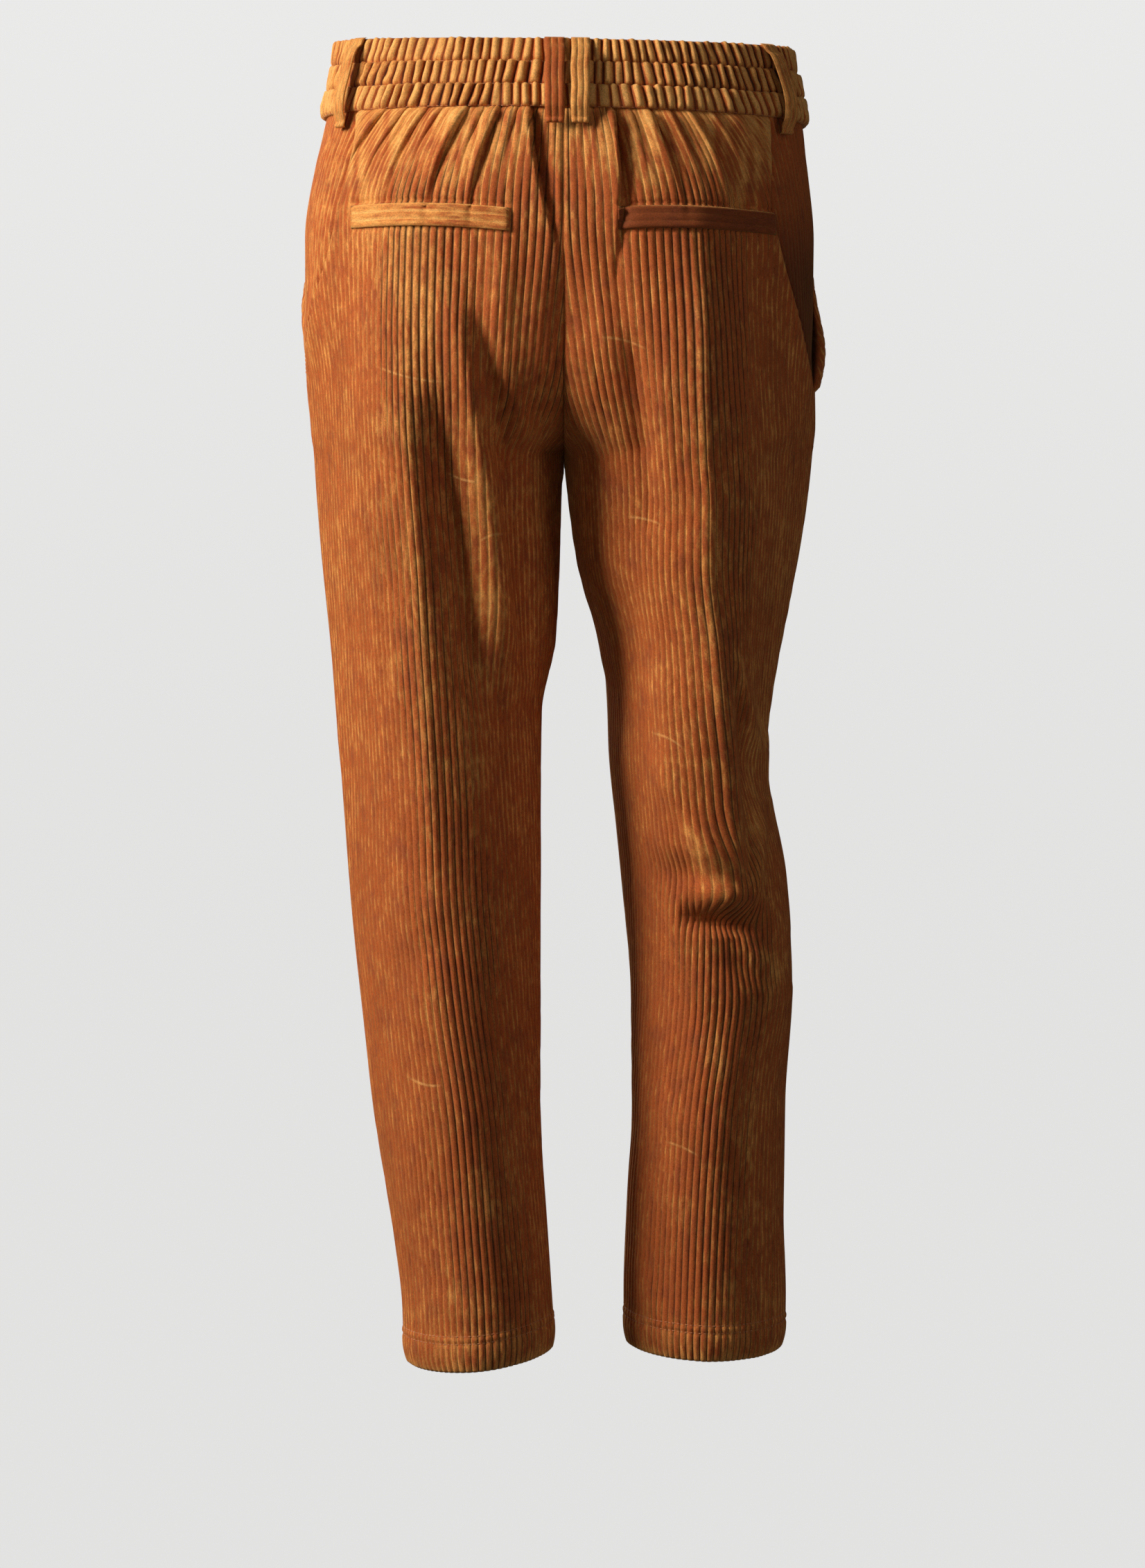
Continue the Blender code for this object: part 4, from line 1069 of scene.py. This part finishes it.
def make_waistband(materials):
    """The elastic waistband: three channels of puckered cloth, like rows of overlapping scales."""
    phases = np.array([count + step for count in range(PUCKERS) for step in PUCKER_STEPS])
    fine = np.linspace(-0.1, 1.1, 12001)
    grids = outer, inner = [], []
    values = {"wale": ([], []), "along": ([], []), "nap_and_painted_light": ([], [])}
    rows = [(channel, *row) for channel in range(CHANNELS) for row in CHANNEL_PROFILE]
    rows.append((CHANNELS - 1, 1.0, 0.0, 0.0))
    share_in = phases % 1.0
    bulge = np.sin(np.pi * share_in ** 0.86) ** 1.05
    which = np.floor(phases)
    for channel, share, reach, lift in rows:
        z = BAND_TOP - (channel + share) * CHANNEL_HEIGHT
        turns = np.interp(phases, pucker_phase(fine, channel, share), fine)
        size = 0.80 + 0.5 * noise(which * 0.7, channel, 30)
        crumple = 0.8 * noise(phases * 1.3, channel * 7 + share * 3.5, 33)
        split = -0.5 * bell(share_in - 0.5, 0.07) * (noise(which * 0.9, channel, 35) > -0.2)
        if channel == 0:
            reach = max(reach, 0.30)
            lift *= 0.8
        off = BAND_WALL - 0.8 + reach * (1.2 + PUCKER_DEPTH * bulge * size + split + crumple)
        length = band_ring(z)[2]
        places = length[0] + turns * np.ptp(length)
        ring = band_points(z, places, off)
        ring[:, 2] += lift * bulge * (0.8 + 0.5 * noise(which * 1.1, channel, 37))
        outer.append(ring)
        coarse = phases[::INNER_STEP]
        off = 0.5 * np.abs(np.sin(np.pi * coarse)) * reach
        inner.append(band_points(z, places[::INNER_STEP], off))
        # Painted highlight on the puckers' crests, painted shade in the valleys between them.
        nap_and_painted_light = 1.85 * bulge ** 1.3 * (0.5 + 0.5 * reach) - 0.70 + 0.3 * noise(phases / 9, channel, 39)
        numbers = {"wale": (2 * phases + 0.5, 2 * coarse), "nap_and_painted_light": (nap_and_painted_light, np.zeros(len(coarse))),
                   "along": (np.full(len(phases), z), np.full(len(coarse), z))}
        for key, pair in numbers.items():
            values[key][0].append(pair[0])
            values[key][1].append(pair[1])
    for side, (step, lift) in enumerate(((1, -0.4), (INNER_STEP, 0.8))):
        grids[side].append(band_points(BAND_BOTTOM + lift, places[::step], -WAIST_TUCK))
        for value in values.values():
            value[side].append(value[side][-1])
    return shell("cloth_waistband", grids, materials, values, wrap=True)


# --- Belt loops and welts ------------------------------------------------------------------------
def make_loop(name, place, width, bow, tone, materials):
    """A belt loop: a folded strip with its ribs along it, standing off the band."""
    crest = BAND_WALL + CHANNEL_SWELL + 0.6
    run = np.array([
        (BAND_TOP + 0.8, crest - 1.6),
        (BAND_TOP - 0.4, crest + 0.6),
        (23.0, crest + 1.2),
        (18.5, crest + LOOP_CLEARANCE - 1.0),
        (8.0, crest + LOOP_CLEARANCE),
        (-12.0, crest + LOOP_CLEARANCE + 0.4),
        (-26.0, crest + LOOP_CLEARANCE - 1.4),
        (-33.0, crest + 0.6),
        (-37.6, crest - 0.6),
        (-38.4, crest - 2.2),
    ])
    steps = np.linspace(0, 1, LOOP_ROWS)
    knots = lengths(run) / lengths(run)[-1]
    heights, offs = smooth(steps, knots, run[:, 0]), smooth(steps, knots, run[:, 1])
    across = np.concatenate([[-0.05], rib_shares(STRIP_RIBS), [1.05]])
    girth = np.ptp(band_ring(0.0)[2])
    seed = 40 + abs(place) / 37
    grids, wale, along = ([], []), ([], []), ([], [])
    for step, z, off in zip(steps, heights, offs):
        spread = np.ptp(band_ring(z)[2]) / girth if abs(place) > 2 * width else 1.0
        swing = bow * np.sin(np.pi * step) + 0.35 * noise(step * 5, 0, seed)
        narrow = 1 - 0.10 * np.clip((step - 0.9) / 0.1, 0, 1) + 0.02 * noise(step * 7, 3, seed)
        for side, line in enumerate((across, across[::2])):
            places = place * spread + swing + (np.clip(line, 0, 1) - 0.5) * width * narrow
            edge = np.minimum(line, 1 - line) * width
            ridge = 0.75 * (wale_profile(line * STRIP_RIBS * WALE) - 1) * ease(edge / 1.5)
            fold = 1.5 * (1 - ease((edge + 0.7) / 2.4))
            stitched = 1.1 * bell(z - LOOP_SEAM_Z, 0.9)
            height = LOOP_WALL + ridge - fold + 0.5 - stitched
            if side:
                height = 0.25 * fold * np.ones_like(line)
            grids[side].append(band_points(z, places, off + height))
            wale[side].append(line * STRIP_RIBS)
            along[side].append(np.full_like(line, z))
    # The loop's tone is painted light over the whole loop: highlight above zero, shade below.
    return shell("cloth_" + name, grids, materials,
                 {"wale": wale, "along": along, "nap_and_painted_light": [np.full_like(part, tone) for part in wale],
                  "opening": [np.full_like(part, 0.5) for part in wale]})


def make_welt(leg, materials):
    """A back pocket's welt: a strip with its ribs lying level, a piped top lip and bound ends."""
    ends = (0, 0.4, 1.2, 2.5), (106.5, 107.8, 108.6, 109.0)
    places = WELT_ENDS[1] + np.concatenate([ends[0], np.arange(4.5, 105.0, 1.9), ends[1]])
    height = WELT_TOP - WELT_FOOT
    grids, wale, along = ([], []), ([], []), ([], [])
    sag = welt_sag(leg, places)
    for share in rib_shares(STRIP_RIBS):
        z = WELT_TOP - 0.8 - share * (height - 1.4)
        lines = []
        for level in (z, z - SAG_SPAN):
            section = Section(leg, "back", level)
            order = np.argsort(section.x)
            lines.append(section.at(np.interp(places, section.x[order], section.u[order])))
        (flat, normal), (lower, _) = lines
        flat = flat + (lower - flat) * (sag / SAG_SPAN)[:, None]
        end = np.minimum(places - places[0], places[-1] - places)
        lip = 0.7 * bell(share - 0.08, 0.06)
        edge = 1.9 * (1 - ease(np.minimum(share * height + 0.35, (1 - share) * height + 0.5) / 1.5))
        bound = 1.9 * (1 - ease((end + 0.3) / 2.2))
        ridge = 0.55 * (wale_profile(np.array([share * STRIP_RIBS * WALE]))[0] - 1)
        fade = 0.75 + 0.25 * noise(places / 16, share * 4, 50)
        off = 0.55 + 2.0 + lip + ridge * fade - np.maximum(edge, bound) + 0.25 * noise(places / 22, 1, 51)
        upper = in_space(leg, flat + normal * off[:, None], z)
        corner = 1.4 * (1 - ease(end / 3.0)) * (2 * share - 1)
        upper[:, 2] += corner - sag
        under = in_space(leg, flat + normal * 0.4, z)
        under[:, 2] -= sag
        for side, (points, line) in enumerate(((upper, places), (under[::2], places[::2]))):
            grids[side].append(points)
            wale[side].append(np.full(len(line), share * STRIP_RIBS))
            along[side].append(line)
    # Painted highlight on the left welt, painted shade at the right welt's inner end.
    tone, paler = WELT_PAINTED_LIGHT[leg]
    nap_and_painted_light = [tone + paler * rise(np.array(part), 80, 60) for part in along]
    return shell(f"cloth_back_welt_{leg}", grids, materials, {"wale": wale, "along": along, "nap_and_painted_light": nap_and_painted_light})


# --- Stitches ------------------------------------------------------------------------------------
def make_stitches(name, starts, ends, normals, radius, material):
    """One mesh of small bent threads from starts to ends, raised along normals."""
    sides = 5
    turns = np.arange(sides) * 2 * np.pi / sides
    run = ends - starts
    size = np.linalg.norm(run, axis=1)[:, None]
    run = run / size
    across = np.cross(run, normals)
    across /= np.linalg.norm(across, axis=1)[:, None]
    upright = np.cross(across, run)
    rings = []
    for share, width, height in ((0.0, 0.15, -0.5), (0.14, 0.85, 0.25), (0.5, 1.0, 0.7),
                                 (0.86, 0.85, 0.25), (1.0, 0.15, -0.5)):
        centre = starts + run * size * share + upright * height * radius
        ring = (centre[:, None] + radius * width
                * (across[:, None] * np.cos(turns)[None, :, None]
                   + upright[:, None] * np.sin(turns)[None, :, None]))
        rings.append(ring)
    points = np.stack(rings, axis=1)
    count, layers = points.shape[:2]
    base = np.arange(count)[:, None, None] * layers * sides
    ring = np.arange(layers - 1)[None, :, None] * sides
    side = np.arange(sides)[None, None]
    after = (side + 1) % sides
    quads = np.stack([base + ring + side, base + ring + after,
                      base + ring + sides + after, base + ring + sides + side], axis=-1)
    quads = quads.reshape(-1, 4)[:, ::-1]
    fan = []
    for k in range(1, sides - 1):
        start = np.arange(count) * layers * sides
        end = start + (layers - 1) * sides
        fan += [np.stack([start, start + k, start + k + 1], axis=1),
                np.stack([end, end + k + 1, end + k], axis=1)]
    triangles = np.concatenate(fan)
    points = points.reshape(-1, 3)
    slots = np.zeros(len(quads) + len(triangles))
    return make_mesh(name, points, quads, triangles, [material], slots, {})


def row_of_stitches(centres, normals, gap):
    """Ends of the stitches along a line of points, with a gap between each two."""
    length = lengths(centres)
    count = int(length[-1] / STITCH_PITCH)
    begin = (np.arange(count) + 0.5 * gap) * STITCH_PITCH
    finish = begin + STITCH_PITCH * (1 - gap)
    return [np.stack([np.interp(at, length, line[:, k]) for k in range(3)], axis=1)
            for at, line in ((begin, centres), (finish, centres), ((begin + finish) / 2, normals))]


def stitch_rows(name, rows, gap, radius, thread):
    """Rows of stitches as one piece; a row is a line of points with its normals."""
    found = zip(*(row_of_stitches(line, facing, gap) for line, facing in rows))
    return make_stitches(name, *(np.concatenate(part) for part in found), radius, thread)


def make_hem_stitches(leg, thread):
    """Two rows of stitches round a hem."""
    rows = []
    for above in HEM_ROWS:
        z = LEGS[leg]["hem"] + above
        for face in ("back", "front"):
            section = Section(leg, face, z)
            u = np.linspace(section.start + 1, section.stop - 1, 400)
            flat, normal = section.at(u)
            off = hem_height(above) + CROWN - 0.35
            rows.append((worn(in_space(leg, flat + normal * off, z)), in_space(leg, normal, 0.0)))
    return stitch_rows(f"hem_stitches_{leg}", rows, STITCH_GAP, THREAD_RADIUS, thread)


def make_mouth_stitches(leg, thread):
    """A row of stitches along the slant pocket's mouth."""
    line, facing = [], []
    for z in np.arange(BAND_BOTTOM - 2, POCKET_END_Z + 6, -3.0):
        section = Section(leg, "front", z)
        flat, normal = section.at(np.array([section.start + 6.0]))
        offset = panel_offset(leg, "front", z, np.array([2.5]), np.array([6.0]), flat[:, 0], 0)
        line.append(in_space(leg, flat + normal * (offset - 0.1), z)[0])
        facing.append(in_space(leg, normal, 0.0)[0])
    rows = [(worn(np.array(line)), np.array(facing))]
    return stitch_rows(f"pocket_stitches_{leg}", rows, STITCH_GAP, THREAD_RADIUS, thread)


def make_band_stitches(thread):
    """Rows of stitches between the waistband's channels, and along its bottom seam."""
    rows = []
    for row in STITCHED_CHANNELS:
        z = BAND_TOP - row * CHANNEL_HEIGHT
        length = band_ring(z)[2]
        places = np.linspace(length[0], length[-1], 1600)
        line = band_points(z, places, BAND_WALL - 0.35)
        rows.append((worn(line), band_points(z, places, BAND_WALL + 0.65) - line))
    return stitch_rows("waistband_stitches", rows, BAND_STITCH_GAP, BAND_THREAD_RADIUS, thread)


# --- Materials -----------------------------------------------------------------------------------
class Graph:
    """A material's node tree, with short ways to add to it."""

    def __init__(self, name):
        self.material = bpy.data.materials.new(name)
        self.material.use_nodes = True
        self.tree = self.material.node_tree
        self.shader = self.tree.nodes["Principled BSDF"]

    def plug(self, socket, value):
        """Links an output to an input, or sets the input."""
        if isinstance(value, bpy.types.NodeSocket):
            self.tree.links.new(value, socket)
        else:
            socket.default_value = value

    def node(self, kind, inputs=(), **settings):
        """Adds a node and gives it back; inputs are (key, value) pairs."""
        made = self.tree.nodes.new(kind)
        for key, value in settings.items():
            setattr(made, key, value)
        for key, value in inputs:
            self.plug(made.inputs[key], value)
        return made

    def number(self, name):
        """A float attribute of the mesh."""
        return self.node("ShaderNodeAttribute", attribute_name=name).outputs["Fac"]

    def math(self, operation, *values):
        """A Math node's result."""
        return self.node("ShaderNodeMath", enumerate(values), operation=operation).outputs[0]

    def ramp(self, value, low, high):
        """0 below low, 1 above high, smooth between; the other way round if low is above high."""
        inputs = (("Value", value), ("From Min", low), ("From Max", high))
        return self.node("ShaderNodeMapRange", inputs,
                         interpolation_type="SMOOTHSTEP").outputs["Result"]

    def mix(self, share, first, second, blend="MIX"):
        """A mix of two colours."""
        made = self.node("ShaderNodeMix", data_type="RGBA", blend_type=blend)
        for key, value in ((0, share), (6, first), (7, second)):
            if isinstance(value, tuple):
                value = (*value, 1.0)
            self.plug(made.inputs[key], value)
        return made.outputs[2]

    def noise(self, vector, scale, detail=2.0):
        """Noise from 0 to 1."""
        inputs = (("Vector", vector), ("Scale", scale), ("Detail", detail))
        return self.node("ShaderNodeTexNoise", inputs).outputs["Fac"]

    def vector(self, x, y, z):
        """A vector of three numbers."""
        return self.node("ShaderNodeCombineXYZ", enumerate((x, y, z))).outputs[0]

    def bump(self, height, strength, distance):
        """A normal bent by a height."""
        inputs = (("Height", height), ("Strength", strength), ("Distance", distance))
        return self.node("ShaderNodeBump", inputs).outputs["Normal"]

    def finish(self, **values):
        """Links or sets the shader's sockets, named with _ for a space; gives the material back."""
        for name, value in values.items():
            self.plug(self.shader.inputs[name.replace("_", " ")], value)
        return self.material


# GOLD and CREAM are partly the pile's own colour and partly painted sheen; CREAM also marks the pressed
# arcs.
RUST = (0.44, 0.094, 0.018)
GOLD = (0.72, 0.30, 0.072)
CREAM = (0.86, 0.46, 0.140)
DUSK = (0.27, 0.058, 0.020)
# The colour of painted shade: in the ribs' grooves, and where the cloth's tone is below zero.
PAINTED_SHADE_COLOUR = (0.07, 0.016, 0.005)
TWILL, PALE_TWILL, DARK_TWILL = (0.24, 0.085, 0.026), (0.34, 0.13, 0.042), (0.13, 0.045, 0.014)
THREAD, PALE_THREAD = (0.40, 0.12, 0.03), (0.66, 0.27, 0.085)
PAPER = (1.0, 0.995, 0.99, 1.0)


def corduroy_material():
    """Rust corduroy: golden rib flanks, brushed streaks, patches where the pile lies another way; the
    gold is partly painted sheen, and painted shade darkens the grooves.
    """
    graph = Graph("rust_corduroy")
    wale, along, nap_and_painted_light = graph.number("wale"), graph.number("along"), graph.number("nap_and_painted_light")
    opening = graph.number("opening")
    share = graph.math("FRACT", wale)
    side = graph.math("ABSOLUTE", graph.math("MULTIPLY_ADD", share, 2.0, -1.0))
    across = graph.math("MULTIPLY", wale, WALE)

    def pattern(stretch, scale, detail, seed):
        """Noise laid out on the cloth, stretched along the ribs."""
        place = graph.vector(across, graph.math("MULTIPLY", along, 1 / stretch), seed)
        return graph.noise(place, scale, detail)

    patch = pattern(1.4, 0.05, 3.0, 3.0)
    streaks = pattern(4.0, 0.42, 4.0, 9.0)
    mottle = pattern(2.2, 0.13, 5.0, 21.0)
    speck = pattern(1.3, 1.5, 3.0, 5.0)
    rib_tone = graph.noise(graph.vector(graph.math("MULTIPLY", graph.math("FLOOR", wale), 7.31),
                                        graph.math("MULTIPLY", along, 0.012), 0.0), 1.0, 1.0)
    dusky = graph.math("MULTIPLY", graph.ramp(mottle, 0.46, 0.74), 0.55)
    colour = graph.mix(dusky, RUST, DUSK)
    # Both flanks of each rib turn golden: partly the pile's own tone, partly painted sheen.
    flank = graph.ramp(side, 0.52, 0.84)
    golden = graph.math("MULTIPLY_ADD", streaks, 1.75, -0.83)
    golden = graph.math("MULTIPLY_ADD", patch, 0.7, golden)
    golden = graph.math("MULTIPLY_ADD", flank, 0.46, golden)
    # The cloth's tone adds its painted highlight, partly brushed pile.
    golden = graph.math("ADD", golden, nap_and_painted_light)
    golden = graph.math("MULTIPLY_ADD", mottle, -0.4, graph.math("ADD", golden, -0.02))
    colour = graph.mix(graph.ramp(golden, 0.12, 1.0), colour, GOLD)
    # The most golden places turn cream: painted highlight.
    colour = graph.mix(graph.math("MULTIPLY", graph.ramp(golden, 0.80, 1.35), 0.6), colour, CREAM)
    line = graph.ramp(graph.math("ABSOLUTE", graph.number("arc")), ARC_HALF, 0.0)
    line = graph.math("MULTIPLY", line, graph.math("MULTIPLY", graph.number("pressed"), mottle))
    colour = graph.mix(line, colour, CREAM)
    # Painted shade on the grooves' floors where the ribs stand open, partly the bare weave between the
    # ribs.
    edge = graph.math("MULTIPLY_ADD", opening, 0.26, side)
    floor = graph.math("MULTIPLY", graph.ramp(edge, 0.86, 1.10), graph.ramp(opening, 0.10, 0.75))
    colour = graph.mix(graph.math("MULTIPLY", floor, 0.80), colour, PAINTED_SHADE_COLOUR)
    # Painted shade where the cloth's tone is below zero.
    colour = graph.mix(graph.ramp(nap_and_painted_light, -0.15, -0.85), colour, PAINTED_SHADE_COLOUR)
    tone = graph.math("MULTIPLY", graph.math("MULTIPLY_ADD", rib_tone, 0.36, 0.82),
                      graph.math("MULTIPLY_ADD", speck, 1.35, 0.33))
    tone_colour = graph.node("ShaderNodeCombineColor", enumerate((tone, tone, tone))).outputs[0]
    colour = graph.mix(1.0, colour, tone_colour, blend="MULTIPLY")
    fibres = pattern(1.6, 4.0, 2.0, 1.0)
    height = graph.math("MULTIPLY_ADD", mottle, 1.2, fibres)
    return graph.finish(Base_Color=colour, Roughness=0.78, Specular_IOR_Level=0.25,
                        Sheen_Weight=0.55, Sheen_Roughness=0.40, Sheen_Tint=(1.0, 0.60, 0.20, 1.0),
                        Normal=graph.bump(height, 0.6, 0.0005))


def lining_material():
    """The cloth's woven back: a plain brown twill with no pile."""
    graph = Graph("corduroy_back")
    wale, along = graph.number("wale"), graph.number("along")
    across = graph.math("MULTIPLY", wale, WALE)
    diagonal = graph.math("ADD", across, graph.math("MULTIPLY", along, 0.8))
    twill = graph.math("SINE", graph.math("MULTIPLY", diagonal, 6.0))
    patch = graph.noise(graph.vector(across, along, 0.0), 0.09, 3.0)
    colour = graph.mix(patch, TWILL, PALE_TWILL)
    colour = graph.mix(graph.math("MULTIPLY_ADD", twill, 0.12, 0.15), colour, DARK_TWILL)
    return graph.finish(Base_Color=colour, Roughness=0.9, Specular_IOR_Level=0.2,
                        Normal=graph.bump(twill, 0.35, 0.0003))


def thread_material():
    """Rust sewing thread with a soft shine."""
    graph = Graph("rust_thread")
    place = graph.node("ShaderNodeNewGeometry").outputs["Position"]
    tone = graph.noise(place, 900.0, 2.0)
    colour = graph.mix(tone, THREAD, PALE_THREAD)
    return graph.finish(Base_Color=colour, Roughness=0.55, Sheen_Weight=0.3)


def paper_material():
    """Glowing paper, a little brighter higher up, and clear when seen from outside."""
    graph = Graph("studio_paper")
    graph.tree.nodes.remove(graph.shader)
    place = graph.node("ShaderNodeNewGeometry")
    split = graph.node("ShaderNodeSeparateXYZ", ((0, place.outputs["Position"]),))
    inputs = (("Value", split.outputs[2]), ("From Min", -1.6), ("From Max", 1.2),
              ("To Min", 0.765), ("To Max", 0.835))
    strength = graph.node("ShaderNodeMapRange", inputs,
                          interpolation_type="SMOOTHSTEP").outputs["Result"]
    glow = graph.node("ShaderNodeEmission", (("Color", PAPER), ("Strength", strength)))
    clear = graph.node("ShaderNodeBsdfTransparent")
    choice = graph.node("ShaderNodeMixShader", enumerate(
        (place.outputs["Backfacing"], glow.outputs[0], clear.outputs[0])))
    graph.plug(graph.tree.nodes["Material Output"].inputs["Surface"], choice.outputs[0])
    return graph.material


# --- Studio --------------------------------------------------------------------------------------
CAMERA_AT = Vector((-0.006, 4.25, -0.15))
CAMERA_AIM = Vector((-0.006, 0.05, -0.488))
FRAME_HEIGHT = 1.0976  # metres seen at the aim point
SENSOR = 36.0
MIDDLE = (0.0, 0.0, -0.45)
LAMP_COLUMNS = ("name", "location", "target", "size", "power", "colour")
LAMPS = (
    ("key", (2.06, 1.04, 0.86), (0.0, 0.0, -0.46), (0.7, 1.0), 90.5, (1.0, 0.95, 0.87)),
    ("fill", (0.9, 4.2, 0.8), MIDDLE, (2.0, 2.0), 9.0, (1.0, 0.97, 0.93)),
    ("side_fill", (-2.4, 2.0, 0.2), MIDDLE, (1.2, 1.6), 9.0, (1.0, 0.96, 0.90)),
    ("front_key", (1.2, -3.2, 1.0), MIDDLE, (1.2, 1.8), 110.0, (1.0, 0.95, 0.88)),
)
# The stage: its radius, the floor's height, the curve between floor and wall, and its sides.
STAGE_RADIUS, FLOOR_Z, BEND, STAGE_TOP, STAGE_SIDES = 9.0, -1.5, 2.5, 12.0, 96
FLOOR_RINGS = (1.0, 2.5, 4.0, 5.5, 6.5)


def aim(obj, target):
    """Turns a camera or light to face a point."""
    obj.rotation_mode = "QUATERNION"
    obj.rotation_quaternion = (Vector(target) - obj.location).to_track_quat("-Z", "Y")


def make_camera():
    """The photograph's view: from behind and just below the waist, slightly down, by a long lens."""
    data = bpy.data.cameras.new("camera")
    camera = new_object("camera", data)
    camera.location = CAMERA_AT
    aim(camera, CAMERA_AIM)
    distance = (CAMERA_AIM - CAMERA_AT).length
    data.sensor_width = SENSOR
    data.lens = SENSOR / 2 / (FRAME_HEIGHT / 2 / distance)
    data.clip_end = 60.0
    bpy.context.scene.camera = camera


def make_light(name, location, target, size, power, colour):
    """A soft rectangular lamp."""
    data = bpy.data.lights.new(name, "AREA")
    data.shape = "RECTANGLE"
    data.size, data.size_y = size
    data.energy = power
    data.color = colour
    light = new_object(name, data)
    light.location = location
    aim(light, target)
    light.visible_camera = False


def make_stage():
    """A pale floor that curves up into a round wall, lit evenly and not lighting the cloth."""
    profile = [(ring, FLOOR_Z) for ring in FLOOR_RINGS]
    for turn in np.linspace(0, np.pi / 2, 12):
        profile.append((STAGE_RADIUS - BEND + BEND * np.sin(turn), FLOOR_Z + BEND * (1 - np.cos(turn))))
    profile.append((STAGE_RADIUS, STAGE_TOP))
    turns = np.linspace(0, 2 * np.pi, STAGE_SIDES, endpoint=False)
    points = [(0.0, 0.0, FLOOR_Z)]
    for r, z in profile:
        points += [(r * np.cos(t), r * np.sin(t), z) for t in turns]
    after = [(k + 1) % STAGE_SIDES for k in range(STAGE_SIDES)]
    faces = [(0, 1 + k, 1 + after[k]) for k in range(STAGE_SIDES)]
    for row in range(len(profile) - 1):
        for k in range(STAGE_SIDES):
            a, b = 1 + row * STAGE_SIDES + k, 1 + row * STAGE_SIDES + after[k]
            faces.append((a, a + STAGE_SIDES, b + STAGE_SIDES, b))
    mesh = bpy.data.meshes.new("studio_floor")
    mesh.from_pydata(points, [], faces)
    mesh.shade_smooth()
    mesh.materials.append(paper_material())
    stage = new_object("studio_floor", mesh)
    for effect in ("diffuse", "glossy", "shadow", "transmission"):
        setattr(stage, f"visible_{effect}", False)


def make_studio():
    """A key light from the wearer's left, two weak fills from behind, and a lamp for the front."""
    world = bpy.data.worlds.new("studio")
    bpy.context.scene.world = world
    world.use_nodes = True
    background = world.node_tree.nodes["Background"]
    background.inputs["Color"].default_value = (0.93, 0.97, 1.0, 1.0)
    background.inputs["Strength"].default_value = 0.055
    for lamp in LAMPS:
        make_light(**dict(zip(LAMP_COLUMNS, lamp)))
    bpy.context.scene.view_settings.view_transform = "Standard"
    make_stage()


def finish_piece(piece):
    """Rides a piece on the garment's one body."""
    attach(piece, "root")


def finish_cloth(piece, node):
    """Rides a piece of cloth on the garment's one body and hides the CAD part it stands for."""
    finish_piece(piece)
    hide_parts(node)


def main():
    """Builds the studio and every piece of the garment."""
    make_camera()
    make_studio()
    corduroy, lining, thread = corduroy_material(), lining_material(), thread_material()
    cloth = [corduroy, lining]
    finish_cloth(make_waistband(cloth), "waistband")
    for leg in LEGS:
        for face in ("back", "front"):
            panel = make_panel(leg, face, cloth)
            finish_cloth(panel, f"{face}_{leg}")
        facing, welt = make_facing(leg, cloth), make_welt(leg, cloth)
        finish_cloth(facing, f"pocket_facing_{leg}")
        finish_cloth(welt, f"back_welt_{leg}")
        finish_piece(make_hem_stitches(leg, thread))
        finish_piece(make_mouth_stitches(leg, thread))
    for name, place, width, bow, tone in LOOPS:
        loop = make_loop(name, place, width, bow, tone, cloth)
        finish_cloth(loop, name)
    finish_piece(make_band_stitches(thread))


main()
